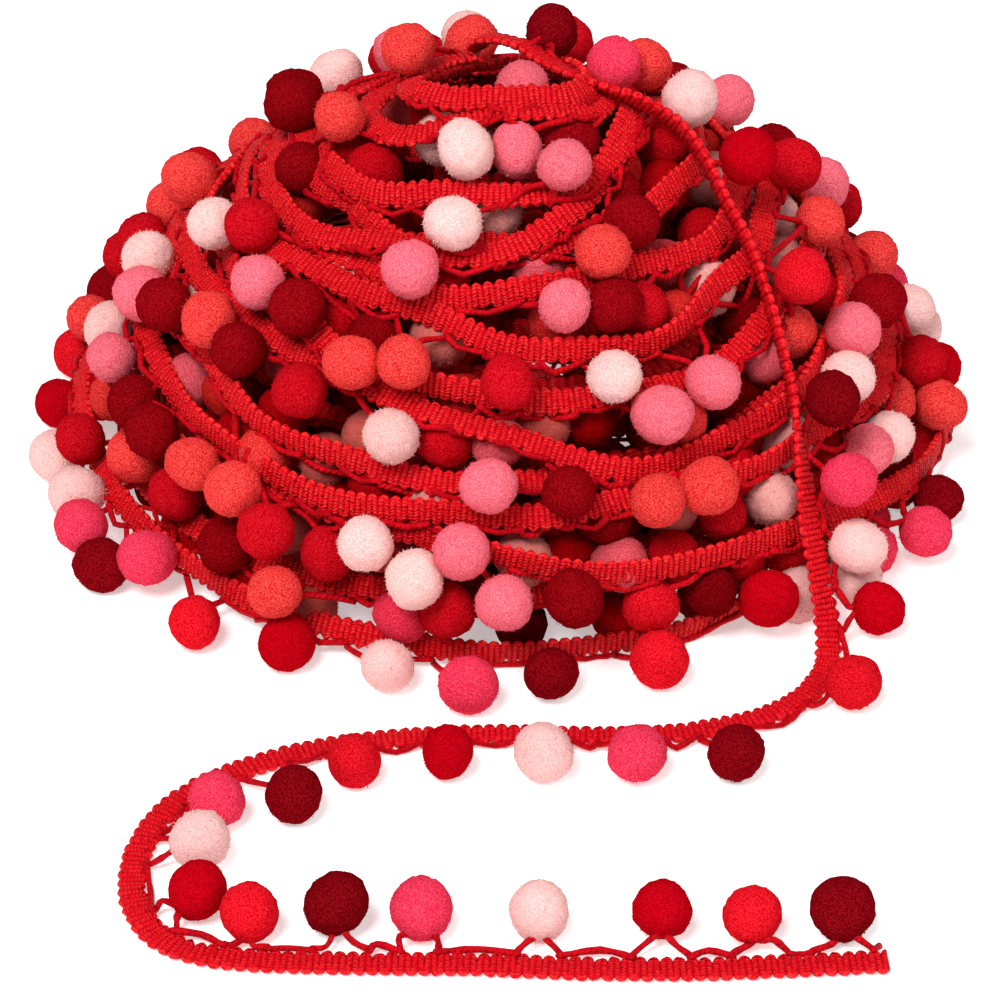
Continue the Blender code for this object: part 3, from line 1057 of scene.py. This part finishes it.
@dataclass
class Winding:
    """The heap's trim as one continuous line, from the floor coil to the top.

    Attributes:
        dome: The heap's form.
        wander: How far the turns stray from an even winding.
        lean: How far the braid leans over about its own line, in degrees.
        floor_turns: How many turns the floor coil has.
        layers: Size, as a part of the dome, and number of turns of each inner layer.
        stops: How many knots each turn of the floor coil and the inner layers has.
        samples: How many points the line gets from each knot to the next.
        lowest: Height of the braid's middle on the floor.
    """

    dome: Dome
    wander: float = 1.0
    lean: float = 30.0
    floor_turns: int = 3
    layers: tuple = ((0.60, 6), (0.80, 9))
    stops: int = 8
    samples: int = 24
    lowest: float = 3.2

    def inner_knots(self, draw: np.random.Generator) -> list[tuple]:
        """Give the knots of the floor coil and the inner layers.

        Args:
            draw: The source of random numbers.

        Returns:
            Azimuth, height, scale and inset at each knot.
        """
        knots = []
        angle = 0.0
        stop = 360.0 / self.stops
        coil = self.layers[0][0]
        for step in range(self.floor_turns * self.stops):
            share = step / (self.floor_turns * self.stops)
            inset = self.dome.radius * coil * (0.78 - 0.66 * share)
            knots.append((angle, self.lowest + draw.uniform(0, 1.2), coil, inset))
            angle -= stop
        for scale, turns in self.layers:
            top = self.dome.height * scale * 0.93
            for step in range(turns * self.stops):
                share = step / (turns * self.stops)
                height = 4 + (top - 4) * share ** 1.05 + draw.normal(0, 1.4)
                knots.append((angle, max(self.lowest + 0.1, height), scale, draw.normal(0, 1.5)))
                angle -= stop
            # From each layer's top the trim drops back to the floor for the next one.
            for step in range(1, 4):
                knots.append((angle, top + (5 - top) * step / 4, scale + 0.03 * step, 1.0))
                angle -= stop
        return knots

    def line(self, lead_out: np.ndarray, draw: np.random.Generator) -> tuple[Route, float, list[float]]:
        """Wind the trim.

        Args:
            lead_out: First points of the free end, which the winding runs into.
            draw: The source of random numbers.

        Returns:
            The route, the distance where the outer turns start, and the distance where each outer
            turn carries its chosen hot pink pompom.
        """
        inner = self.inner_knots(draw)
        angle = math.floor((inner[-1][0] - STATIONS[0]) / 360) * 360
        outer = []
        for number, turn in enumerate(OUTER_TURNS):
            for station, height, inset in zip(STATIONS, turn.heights, turn.insets):
                outer.append((angle - 360 * number + station, height, 1.0, inset))
        table = smooth_line(np.array(inner + outer, dtype=float), self.samples)
        wave = np.radians(table[:, 0])
        stray = np.sin(wave * 2.37 + 1.0) + 0.8 * np.sin(wave * 6.13 + 2.0) + 0.8 * np.sin(wave * 10.7)
        # The small turns near the top are too tight to stray much.
        calm = np.clip((self.dome.height * 0.9 - table[:, 1]) / 26, 0.12, 1)
        height = table[:, 1] + 0.6 * self.wander * stray * calm * np.clip(table[:, 1] / 8 - 0.4, 0, 1)
        waver = 1 + np.sin(wave * 3.3 + 0.4) * np.sin(wave * 8.9) * calm
        inset = table[:, 3] + 0.8 * self.wander * waver
        wound = self.dome.spots(table[:, 0], height, table[:, 2], inset)
        # The last turn runs on into the free end without a kink.
        bridge = wound[-1:] * 0.45 + lead_out[:1] * 0.55 + (-3.0, 3.0, 1.0)
        knots = np.vstack([wound[-40:-39], wound[-1:], bridge, lead_out])
        tail = smooth_line(knots, self.samples)[self.samples:-self.samples]
        points = np.vstack([wound[:-1], tail])
        route = Route.evenly(points, self.dome.outward(points))
        # The braid rolls to and fro about its own line, less and less towards the free end.
        far = route.distance
        roll = np.sin(far / 9.3) * 0.7 + np.sin(far / 17.0) + np.sin(far / 41.0)
        roll *= np.radians(self.lean) / 1.6
        roll *= np.clip((route.length - far) / 30.0, 0, 1)
        facing = route.face * np.cos(roll)[:, None] + route.side * np.sin(roll)[:, None]
        route = Route(route.points, facing)
        # Where an edge or a face of the leaning braid would reach into the floor, it is lifted.
        lowest = route.points[:, 2] - np.abs(route.side[:, 2]) * 2.75 - np.abs(route.face[:, 2]) * 0.95
        route.points[:, 2] += np.maximum(0.05 - lowest, 0.0)
        pinks = []
        reach = np.concatenate([[0.0], np.cumsum(np.linalg.norm(np.diff(wound, axis=0), axis=1))])
        for number, turn in enumerate(OUTER_TURNS):
            wanted = angle - 360 * number + turn.pink_at
            pinks.append(float(np.interp(-wanted, -table[:, 0], reach)))
        # The outer turns start a little before their first knot, on the way down from the inner layers.
        start = float(reach[len(inner) * self.samples - 60])
        return route, start, pinks


@dataclass
class Arrangement:
    """Picks which pompom comes to lie at each of the chosen places.

    Attributes:
        dome: The heap's form.
        reach: How far a chosen place may be from where the pompom's cord leaves the braid.
    """

    dome: Dome
    reach: float = 19.0

    def spots(self) -> tuple[np.ndarray, np.ndarray]:
        """Give the chosen places and the colour numbers of their pompoms."""
        spots = []
        numbers = []
        for shown in SHOWN_POMPOMS:
            size = self.dome.radius + shown.lie.value
            shell = Dome(radius=size, height=size)
            table = np.array(shown.places, dtype=float)
            spots.append(shell.spots(table[:, 0], table[:, 1], np.ones(len(table)), np.zeros(len(table))))
            numbers += [COLOUR_ROW.index(shown.colour)] * len(table)
        return np.vstack(spots), np.array(numbers)

    def assign(self, anchors: np.ndarray, numbers: np.ndarray) -> tuple[np.ndarray, np.ndarray]:
        """Match the chosen places with pompoms, nearest first.

        Args:
            anchors: The place on the braid's edge that each pompom hangs from.
            numbers: The pompoms' colour numbers.

        Returns:
            The numbers of the matched pompoms and their places.
        """
        spots, colours = self.spots()
        away = np.linalg.norm(spots[:, None] - anchors[None], axis=2)
        away[colours[:, None] != numbers[None]] = np.inf
        matched = []
        places = []
        while True:
            spot, pompom = np.unravel_index(np.argmin(away), away.shape)
            if away[spot, pompom] > self.reach:
                break
            matched.append(pompom)
            places.append(spots[spot])
            away[spot] = np.inf
            away[:, pompom] = np.inf
        log.info("chosen places: %d of %d taken", len(matched), len(spots))
        return np.array(matched), np.array(places)


@dataclass
class Settling:
    """Moves crowded pompoms until they lie beside each other, clear of the braid and on the floor.

    Attributes:
        dome: The heap's form.
        rounds: How many rounds of small moves there are.
        radius: The pompoms' radius, a little less where they press together.
        sight: How near a pompom has to be to a bit of braid to be tested against it.
        braid_half: Half the braid's thickness, as far as pompoms feel it.
        floor_height: Lowest height of a centre.
        look_again: How many rounds go by before the nearby braid is looked up again.
        calming: In how many last rounds the pompoms stop making for their places.
        share: How much of an overlap each of two pompoms clears in a round.
    """

    dome: Dome
    rounds: int = 70
    radius: float = 4.75
    sight: float = 12.5
    braid_half: float = 0.7
    floor_height: float = 4.9
    look_again: int = 8
    calming: int = 30
    share: float = 0.45

    def run(self, centres: np.ndarray, anchors: np.ndarray, still: np.ndarray, braid: Route,
            homing: np.ndarray, reach: np.ndarray, cover: np.ndarray) -> np.ndarray:
        """Settle the pompoms.

        Args:
            centres: Where the pompoms hang at first.
            anchors: The place on the braid's edge that each hangs from.
            still: Centres of other pompoms, which stay where they are.
            braid: The braid's line, which stays where it is.
            homing: How strongly each pompom keeps to its first place.
            reach: The longest distance of each from its anchor.
            cover: The least depth of each inside the heap's form.

        Returns:
            The settled centres.
        """
        homes = centres.copy()
        moved = centres.copy()
        patch = slice(None, None, 4)
        middle, along, side, face = (part[patch] for part in
                                     (braid.points, braid.along, braid.side, braid.face))
        # Two pompoms of the heap share a move. Beside the free end's, only the heap's moves.
        ours = np.arange(len(centres) + len(still)) < len(centres)
        weight = np.where(ours, self.share, 2 * self.share)
        for turn in range(self.rounds):
            if turn % self.look_again == 0:
                near = np.linalg.norm(moved[:, None] - middle[None], axis=2) < self.sight
                ball, strip = np.nonzero(near)
            # Towards the end the pompoms stop making for their places and only make room.
            moved += (homes - moved) * homing[:, None] * min(1.0, (self.rounds - turn) / self.calming)
            everyone = np.vstack([moved, still])
            gap = moved[:, None] - everyone[None]
            far = np.linalg.norm(gap, axis=2)
            push = np.where((far > 1e-6) & (far < 2 * self.radius), 2 * self.radius - far, 0.0)
            moved += (gap / np.maximum(far, 1e-6)[..., None] * (push * weight)[..., None]).sum(axis=1)
            # Each bit of braid near a pompom is a small flat plate that pushes it away.
            offset = moved[ball] - middle[strip]
            sideways = np.clip((offset * side[strip]).sum(1), -BRAID_EDGE, BRAID_EDGE)
            run = np.clip((offset * along[strip]).sum(1), -2.0, 2.0)
            away = offset - side[strip] * sideways[:, None] - along[strip] * run[:, None]
            size = np.linalg.norm(away, axis=1)
            need = np.maximum(self.radius + self.braid_half - size, 0.0) * 0.75
            away = np.where(size[:, None] > 0.3, away / np.maximum(size, 1e-6)[:, None], face[strip])
            shove = np.zeros_like(moved)
            np.add.at(shove, ball, away * need[:, None])
            count = np.bincount(ball[need > 0], minlength=len(moved))
            moved += shove / np.maximum(np.sqrt(count), 1.0)[:, None]
            shallow = np.maximum(cover - self.dome.depth(moved), 0.0)
            moved -= self.dome.outward(moved) * shallow[:, None] * 0.7
            rope = moved - anchors
            length = np.linalg.norm(rope, axis=1)
            moved = anchors + rope * np.minimum(1.0, reach / np.maximum(length, 1e-6))[:, None]
            moved[:, 2] = np.maximum(moved[:, 2], self.floor_height)
        return moved


@dataclass
class TrimPieces:
    """Makes the pieces of a stretch of trim and dresses them.

    Attributes:
        braid: The braid's shape.
        pompom: The pompoms' shape.
        hanger: The hanger cord's shape.
        finishes: The materials made so far, by key.
    """

    braid: BraidShape
    pompom: PompomShape
    hanger: HangerShape
    finishes: dict = field(default_factory=dict)

    def finish(self, key: str) -> bpy.types.Material:
        """Give the material of a braid, the cord or one pompom colour, made once.

        Args:
            key: "cord", or "heap" or "tail" and then, after a space, "braid" or a yarn colour's name.

        Returns:
            The material.
        """
        if key not in self.finishes:
            if key in BRAIDS:
                self.finishes[key] = BRAIDS[key].material(f"viscose_gimp_braid_{key.split()[0]}")
            elif key == "cord":
                self.finishes[key] = HangerCordFinish().material("twisted_viscose_cord")
            else:
                part, colour = key.split()
                # The heap's palette is the copy with painted light.
                piles = PAINTED_LIGHT_HEAP_PILES if part == "heap" else TAIL_PILES
                name = f"cut_acrylic_pile_{colour}_{part}"
                self.finishes[key] = piles[YarnColour(colour)].material(name)
        return self.finishes[key]

    def place(self, piece: bpy.types.Object, slot: str, nodes: list[str]) -> bpy.types.Object:
        """Put a piece on the heap's body in place of its solids.

        Args:
            piece: The piece.
            slot: The record's material slot; not used.
            nodes: The solids that it stands for.

        Returns:
            The piece.
        """
        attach(piece, ROOT_BODY)
        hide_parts(*nodes)
        return piece


@dataclass
class Tail:
    """The trim's free end: braid, hanger cord and pompoms along the given route.

    Attributes:
        pieces: What makes its pieces.
        leaning: Height above which the braid's face leans fully out of the heap.
        on_edge: How far the braid leans onto its pompom edge over the heap, in degrees.
        edge_height: Height at which it starts to lean over.
        edge_rise: Further height over which it comes to lean fully.
        lift: How far it lies out from its route there.
        slump: How far its top end sinks in.
        slump_height: Height at which it starts to sink in.
        slump_rise: Further height over which it comes to sink in fully.
        path_step: How many of the route's points each point of the path stands for; the path is worked out
            but not used.
        route: The braid's line.
        names: The names of its pompoms' solids.
        centres: The pompoms' centres.
        colours: Their yarn colours.
        places: Where along the route each hangs.
    """

    pieces: TrimPieces
    leaning: float = 26.0
    on_edge: float = 58.0
    edge_height: float = 22.0
    edge_rise: float = 16.0
    lift: float = 1.5
    slump: float = 3.4
    slump_height: float = 72.0
    slump_rise: float = 14.0
    path_step: int = 8
    route: Route = field(init=False)
    names: list = field(init=False)
    centres: np.ndarray = field(init=False)
    colours: list = field(init=False)
    places: np.ndarray = field(init=False)

    def __post_init__(self) -> None:
        """Lay the route and read where the pompoms are."""
        points = smooth_line(np.array(TAIL_ROUTE, dtype=float), 12)
        rise = np.clip(points[:, 2] / self.leaning, 0, 1)
        outward = 1.7 * rise * rise * (3 - 2 * rise) / 88.5
        facing = unit(np.stack([points[:, 0] * outward, points[:, 1] * outward, np.ones(len(points))], 1))
        route = Route.evenly(points, facing, 0.5)
        # Over the heap the braid leans onto its pompom edge, and its top end sinks in a little.
        lean = np.clip((route.points[:, 2] - self.edge_height) / self.edge_rise, 0, 1)
        lean *= np.clip(route.distance / 25, 0.15, 1)
        angle = np.radians(self.on_edge) * lean
        lifted = route.points + route.face * self.lift * lean[:, None]
        lifted[:, 2] -= self.sunk(route.points[:, 2])
        facing = route.face * np.cos(angle)[:, None] + route.side * np.sin(angle)[:, None]
        self.route = Route(lifted, facing)
        rows = frame["record"]["subparts"]
        self.names = sorted(row["node"] for row in rows if row["node"].startswith("tail_pompom_"))
        slots = {row["node"]: row["material_slot"] for row in rows}
        self.colours = [YarnColour(slots[name].removesuffix("_pompom")) for name in self.names]
        boxes = [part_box(name) for name in self.names]
        self.centres = np.array([[(low + high) / 2 / MM for low, high in zip(*box)] for box in boxes])
        self.centres[:, 2] -= self.sunk(self.centres[:, 2])
        self.places = np.array([self.route.nearest(centre) for centre in self.centres])

    def sunk(self, heights: np.ndarray) -> np.ndarray:
        """Give how far the top end sinks in at these heights."""
        return self.slump * np.clip((heights - self.slump_height) / self.slump_rise, 0, 1)

    def build(self, draw: np.random.Generator) -> None:
        """Args:
            draw: The source of random numbers.
        """
        ties = np.clip((self.places[:-1] + self.places[1:]) / 2, 0, self.route.length)
        batch = MeshBatch()
        self.pieces.braid.ribbon(batch, self.route, 0.0, self.route.length, 2, ties, draw)
        band = self.pieces.place(batch.build("tail_braid", self.pieces.finish("tail braid")),
                                 "braid", ["tail_band"])
        batch = MeshBatch()
        knots = self.pieces.hanger.knots(self.route, self.places, self.centres,
                                         self.pieces.pompom.diameter / 2, draw)
        self.pieces.hanger.tube(batch, knots, 8, 3, draw)
        cord = self.pieces.place(batch.build("tail_cord", self.pieces.finish("cord")),
                                 "hanger_cord", ["tail_hanger_cord"])
        middle, _, side, _ = self.route.at(self.places)
        towards = unit(middle + side * BRAID_EDGE - self.centres)
        for colour in COLOUR_ROW:
            batch = MeshBatch()
            nodes = []
            for name, centre, own, tie in zip(self.names, self.centres, self.colours, towards):
                if own is colour:
                    self.pieces.pompom.ball(batch, centre, tie, True, colour.fluff, draw)
                    nodes.append(name)
            piece = batch.build(f"tail_pompoms_{colour.value}", self.pieces.finish(f"tail {colour.value}"))
            self.pieces.place(piece, f"{colour.value}_pompom", nodes)
        path = [tuple(point * MM) for point in self.route.points[::self.path_step]]
        path.append(tuple(self.route.points[-1] * MM))
        log.info("free end: %.0f mm of braid, %d pompoms", self.route.length, len(self.names))


@dataclass
class Heap:
    """The wound heap: braid, hanger cords and pompoms of every turn.

    Attributes:
        pieces: What makes its pieces.
        dome: Its form.
        pitch: Usual length of braid from one pompom to the next.
        hang: Distance from the braid's middle to a pompom's centre.
        bare_start: Shortest length of braid before the first pompom.
        bare_end: Length of braid after the last pompom.
        shortest: Shortest reach of a chosen pompom from the braid's edge.
        longest: Longest reach of a chosen pompom from the braid's edge.
        loose_reach: Longest reach of the others.
        chosen_homing: How strongly a chosen pompom keeps to its place while it settles.
        loose_homing: How strongly the others do.
        chosen_cover: Least depth of a chosen pompom in the heap's form.
        loose_cover: Least depth of the others.
        sunk_cover: Least depth of the others where chosen ones show.
        shown_azimuth: How far round to each side the chosen places reach.
        shown_height: Height below which the others don't have to sink in.
        resting: Height of the centre of a pompom that lies on the floor.
        fine_depth: Depth in the heap below which pompoms are built plainly.
        lowest_turn: Height below which a pompom belongs to the turn on the floor.
        lit_depth: Depth in the heap below which pompoms get painted shade, a darker colour.
        dark_depth: Further depth over which the painted shade reaches its full strength.
        painted_darkening: How much darker the painted shade makes them.
        low_share: The part of the outer turns that the lower piece of braid takes.
    """

    pieces: TrimPieces
    dome: Dome
    pitch: float = 16.5
    hang: float = 9.2
    bare_start: float = 6.0
    bare_end: float = 7.0
    shortest: float = 7.0
    longest: float = 12.5
    loose_reach: float = 9.8
    chosen_homing: float = 0.35
    loose_homing: float = 0.05
    chosen_cover: float = -6.0
    loose_cover: float = -3.0
    sunk_cover: float = 5.0
    shown_azimuth: float = 98.0
    shown_height: float = 9.0
    resting: float = 5.0
    fine_depth: float = 13.0
    lowest_turn: float = 12.0
    lit_depth: float = 3.0
    dark_depth: float = 9.0
    painted_darkening: float = 0.4
    low_share: float = 0.46

    def stations(self, route: Route, pinks: list[float]) -> tuple[np.ndarray, np.ndarray]:
        """Share the pompoms out along the winding.

        Each outer turn has a hot pink pompom at its chosen place, and between two of these the
        colours repeat a whole number of times.

        Args:
            route: The winding's line.
            pinks: Where each outer turn has its chosen hot pink pompom.

        Returns:
            The pompoms' places along the line and their numbers in the colour row.
        """
        places = []
        numbers = []
        row = len(COLOUR_ROW)
        first = pinks[0]
        count = int((first - self.bare_start) / self.pitch)
        for index in range(count, 0, -1):
            places.append(first - index * self.pitch)
            numbers.append((-index) % row)
        ends = pinks + [route.length - self.bare_end]
        for number, (here, there) in enumerate(zip(ends, ends[1:])):
            last = number == len(pinks) - 1
            amount = (there - here) / self.pitch
            steps = max(1, round(amount)) if last else row * max(1, round(amount / row))
            for index in range(steps):
                places.append(here + (there - here) * index / steps)
                numbers.append(index % row)
        return np.array(places), np.array(numbers)

    def hung(self, route: Route, places: np.ndarray,
             draw: np.random.Generator) -> tuple[np.ndarray, np.ndarray]:
        """Hang each pompom from the braid's lower edge before it is settled.

        Args:
            route: The winding's line.
            places: Where the pompoms hang along it.
            draw: The source of random numbers.

        Returns:
            The pompoms' first centres and the places on the braid's edge that they hang from.
        """
        middle, _, side, _ = route.at(places)
        outward = self.dome.outward(middle)
        inner = self.dome.depth(middle) > 8
        swing = np.radians(np.where(inner, 30, -4) + draw.normal(0, 26, len(places)))[:, None]
        down = unit(side - outward * (side * outward).sum(1, keepdims=True))
        centres = middle + (down * np.cos(swing) + outward * np.sin(swing)) * self.hang
        # A pompom that would hang into the floor lies on it, outside the braid.
        low = centres[:, 2] < self.resting
        flat = unit(outward * (1, 1, 0))
        lift = np.clip(self.resting - middle[:, 2], -self.hang, self.hang)
        floor_reach = np.sqrt(np.maximum(self.hang ** 2 - lift ** 2, 4.0))
        grounded = middle + flat * floor_reach[:, None]
        grounded[:, 2] = self.resting
        centres[low] = grounded[low]
        return centres, middle + side * BRAID_EDGE

    def settled(self, route: Route, start: float, places: np.ndarray, numbers: np.ndarray, tail: Tail,
                draw: np.random.Generator) -> np.ndarray:
        """Find where every pompom comes to lie.

        Args:
            route: The winding's line.
            start: Where the outer turns start.
            places: Where the pompoms hang along it.
            numbers: Their colour numbers.
            tail: The free end, which lies on the heap.
            draw: The source of random numbers.

        Returns:
            The pompoms' centres.
        """
        centres, anchors = self.hung(route, places, draw)
        count = len(places)
        homing = np.full(count, self.loose_homing)
        reach = np.full(count, self.loose_reach)
        cover = np.full(count, self.loose_cover)
        azimuth = np.degrees(np.arctan2(centres[:, 0], -centres[:, 1]))
        # Among the chosen places the other outer pompoms sink in behind the braid.
        shown = (np.abs(azimuth) < self.shown_azimuth) & (centres[:, 2] > self.shown_height)
        cover[shown & (places > start)] = self.sunk_cover
        matched, spots = Arrangement(self.dome).assign(anchors, numbers)
        rope = spots - anchors[matched]
        length = np.linalg.norm(rope, axis=1)
        reach[matched] = np.clip(length, self.shortest, self.longest)
        centres[matched] = anchors[matched] + rope * np.minimum(1, self.longest / length)[:, None]
        homing[matched] = self.chosen_homing
        cover[matched] = self.chosen_cover
        both = Route(np.vstack([route.points, tail.route.points[::2]]),
                     np.vstack([route.face, tail.route.face[::2]]))
        return Settling(self.dome).run(centres, anchors, tail.centres, both, homing, reach, cover)

    def build(self, tail: Tail, draw: np.random.Generator) -> None:
        """Build the heap's pieces.

        Args:
            tail: The free end, which lies on the heap.
            draw: The source of random numbers.
        """
        route, start, pinks = Winding(self.dome).line(tail.route.points[[0, 18]], draw)
        places, numbers = self.stations(route, pinks)
        centres = self.settled(route, start, places, numbers, tail, draw)
        log.info("heap: %.0f mm of braid, %d pompoms", route.length, len(places))
        self.braids(route, start, places, draw)
        self.cords(route, start, places, centres, draw)
        self.pompoms(route, places, centres, numbers, draw)

    def braids(self, route: Route, start: float, places: np.ndarray, draw: np.random.Generator) -> None:
        """Build the braid: the inner layers plainly and the outer turns in fine detail.

        Args:
            route: The winding's line.
            start: Where the outer turns start.
            places: Where the pompoms hang along it.
            draw: The source of random numbers.
        """
        ties = (places[:-1] + places[1:]) / 2
        half = start + (route.length - start) * self.low_share
        for name, low, high, detail in (("heap_braid_inner", 0.0, start, 0),
                                        ("heap_braid_low_turns", start, half, 1),
                                        ("heap_braid_high_turns", half, route.length, 1)):
            batch = MeshBatch()
            self.pieces.braid.ribbon(batch, route, low, high, detail, ties, draw)
            self.pieces.place(batch.build(name, self.pieces.finish("heap braid")), "heap", ["wound_heap"])

    def cords(self, route: Route, start: float, places: np.ndarray, centres: np.ndarray,
              draw: np.random.Generator) -> None:
        """Build the hanger cords of the inner layers and of the outer turns.

        Args:
            route: The winding's line.
            start: Where the outer turns start.
            places: Where the pompoms hang along it.
            centres: The pompoms' centres.
            draw: The source of random numbers.
        """
        outer = places > start
        for name, chosen, sides, samples in (("heap_cords_inner", ~outer, 4, 1),
                                             ("heap_cords_outer", outer, 6, 2)):
            batch = MeshBatch()
            knots = self.pieces.hanger.knots(route, places[chosen], centres[chosen],
                                             self.pieces.pompom.diameter / 2, draw)
            self.pieces.hanger.tube(batch, knots, sides, samples, draw)
            self.pieces.place(batch.build(name, self.pieces.finish("cord")), "heap", ["wound_heap"])

    def pompoms(self, route: Route, places: np.ndarray, centres: np.ndarray, numbers: np.ndarray,
                draw: np.random.Generator) -> None:
        """Build the pompoms: for each colour one piece high up and one at the floor.

        Args:
            route: The winding's line.
            places: Where the pompoms hang along it.
            centres: The pompoms' centres.
            numbers: Their numbers in the colour row.
            draw: The source of random numbers.
        """
        depth = self.dome.depth(centres)
        middle, _, side, _ = route.at(places)
        ties = unit(middle + side * BRAID_EDGE - centres)
        low = centres[:, 2] < self.lowest_turn
        groups = [(number, high) for number in range(len(COLOUR_ROW)) for high in (True, False)]
        for number, high in groups:
            colour = COLOUR_ROW[number]
            batch = MeshBatch()
            own = (numbers == number) & (low != high)
            for centre, tie, deep in zip(centres[own], ties[own], depth[own]):
                # Pompoms deep in the heap get painted shade: their colour is darkened with depth.
                painted_shade = 1 - self.painted_darkening * min(1.0, max(0.0, (deep - self.lit_depth) / self.dark_depth))
                self.pieces.pompom.ball(batch, centre, tie, bool(deep < self.fine_depth),
                                        colour.fluff, draw, painted_shade)
            name = f"heap_pompoms_{colour.value}" if high else f"heap_low_pompoms_{colour.value}"
            # The high pompoms take the palette with painted light, the low ones the free end's.
            finish = self.pieces.finish(f"{'heap' if high else 'tail'} {colour.value}")
            self.pieces.place(batch.build(name, finish), f"{colour.value}_pompom", ["wound_heap"])


@dataclass(frozen=True)
class Studio:
    """A plain pale floor, soft light and the camera.

    Attributes:
        elevation: The camera's height angle, in degrees.
        distance: The camera's distance from the heap's base, in metres.
        aim: The floor point that it looks at, in metres.
        lens: Its focal length, in millimetres.
        sensor: Width of its sensor, in millimetres.
        sight: How far it sees, in metres.
        floor_half: Half the floor's width, in metres.
        floor_glow: How strongly the floor is lit from below.
        sky: Strength of the light from all round.
        lamps: Name, place and width in metres, and power in watts, of each lamp.
        lamp_aim: The point that the lamps look at, in metres.
    """

    elevation: float = 34.0
    distance: float = 0.70
    aim: tuple = (-0.0005, -0.024, 0.0)
    lens: float = 127.26
    sensor: float = 36.0
    sight: float = 20.0
    floor_half: float = 3.0
    floor_glow: float = 0.42
    sky: float = 0.25
    lamps: tuple = (("key", (-0.40, -0.70, 1.20), 0.6, 20.5), ("fill", (0.7, -0.5, 0.8), 0.8, 4.5))
    lamp_aim: tuple = (0.0, -0.03, 0.03)

    def camera(self) -> None:
        """Set up the camera."""
        data = bpy.data.cameras.new("camera")
        data.lens = self.lens
        data.sensor_width = self.sensor
        data.clip_end = self.sight
        camera = bpy.data.objects.new("camera", data)
        angle = math.radians(self.elevation)
        spot = Vector((0.0, -self.distance * math.cos(angle), self.distance * math.sin(angle)))
        camera.location = spot
        camera.rotation_euler = (Vector(self.aim) - spot).to_track_quat("-Z", "Y").to_euler()
        bpy.context.scene.collection.objects.link(camera)
        bpy.context.scene.camera = camera

    def floor(self) -> None:
        """Lay the floor: a wide pale sheet."""
        half = self.floor_half
        mesh = bpy.data.meshes.new("floor")
        mesh.from_pydata([(-half, -half, 0), (half, -half, 0), (half, half, 0), (-half, half, 0)], [],
                         [(0, 1, 2, 3)])
        # A sheet of white acrylic, lit a little from below so that shadows on it stay faint.
        material, _ = new_material("backlit_white_acrylic_floor", {
            "Base Color": linear_colour("#F7F6F5"), "Roughness": 0.9, "Specular IOR Level": 0.1,
            "Emission Color": linear_colour("#FFFFFF"), "Emission Strength": self.floor_glow})
        mesh.materials.append(material)
        floor = bpy.data.objects.new("floor", mesh)
        bpy.context.scene.collection.objects.link(floor)

    def area_light(self, name: str, spot: tuple, size: float, power: float) -> None:
        """Add a soft square light that looks at the heap.

        Args:
            name: The light's name.
            spot: Where it is, in metres.
            size: Its width, in metres.
            power: Its power, in watts.
        """
        data = bpy.data.lights.new(name, "AREA")
        data.shape = "SQUARE"
        data.size = size
        data.energy = power
        light = bpy.data.objects.new(name, data)
        light.location = spot
        aim = Vector(self.lamp_aim) - Vector(spot)
        light.rotation_euler = aim.to_track_quat("-Z", "Y").to_euler()
        bpy.context.scene.collection.objects.link(light)

    def lights(self) -> None:
        """Light the scene softly from all round and more from the upper left and the front."""
        world = bpy.data.worlds.new("studio")
        world.use_nodes = True
        sky = world.node_tree.nodes["Background"]
        sky.inputs["Color"].default_value = (1.0, 0.995, 0.99, 1.0)
        sky.inputs["Strength"].default_value = self.sky
        bpy.context.scene.world = world
        for lamp in self.lamps:
            self.area_light(*lamp)

    def build(self) -> None:
        """Set up the whole studio."""
        self.camera()
        self.floor()
        self.lights()
        bpy.context.scene.view_settings.view_transform = "Standard"


def main() -> None:
    """Build the studio, the free end and the heap."""
    logging.basicConfig(level=logging.INFO, format="%(message)s")
    draw = np.random.default_rng(SEED)
    Studio().build()
    pieces = TrimPieces(BraidShape(), PompomShape(), HangerShape())
    tail = Tail(pieces)
    tail.build(draw)
    Heap(pieces, Dome()).build(tail, draw)


if __name__ == "__main__":
    main()
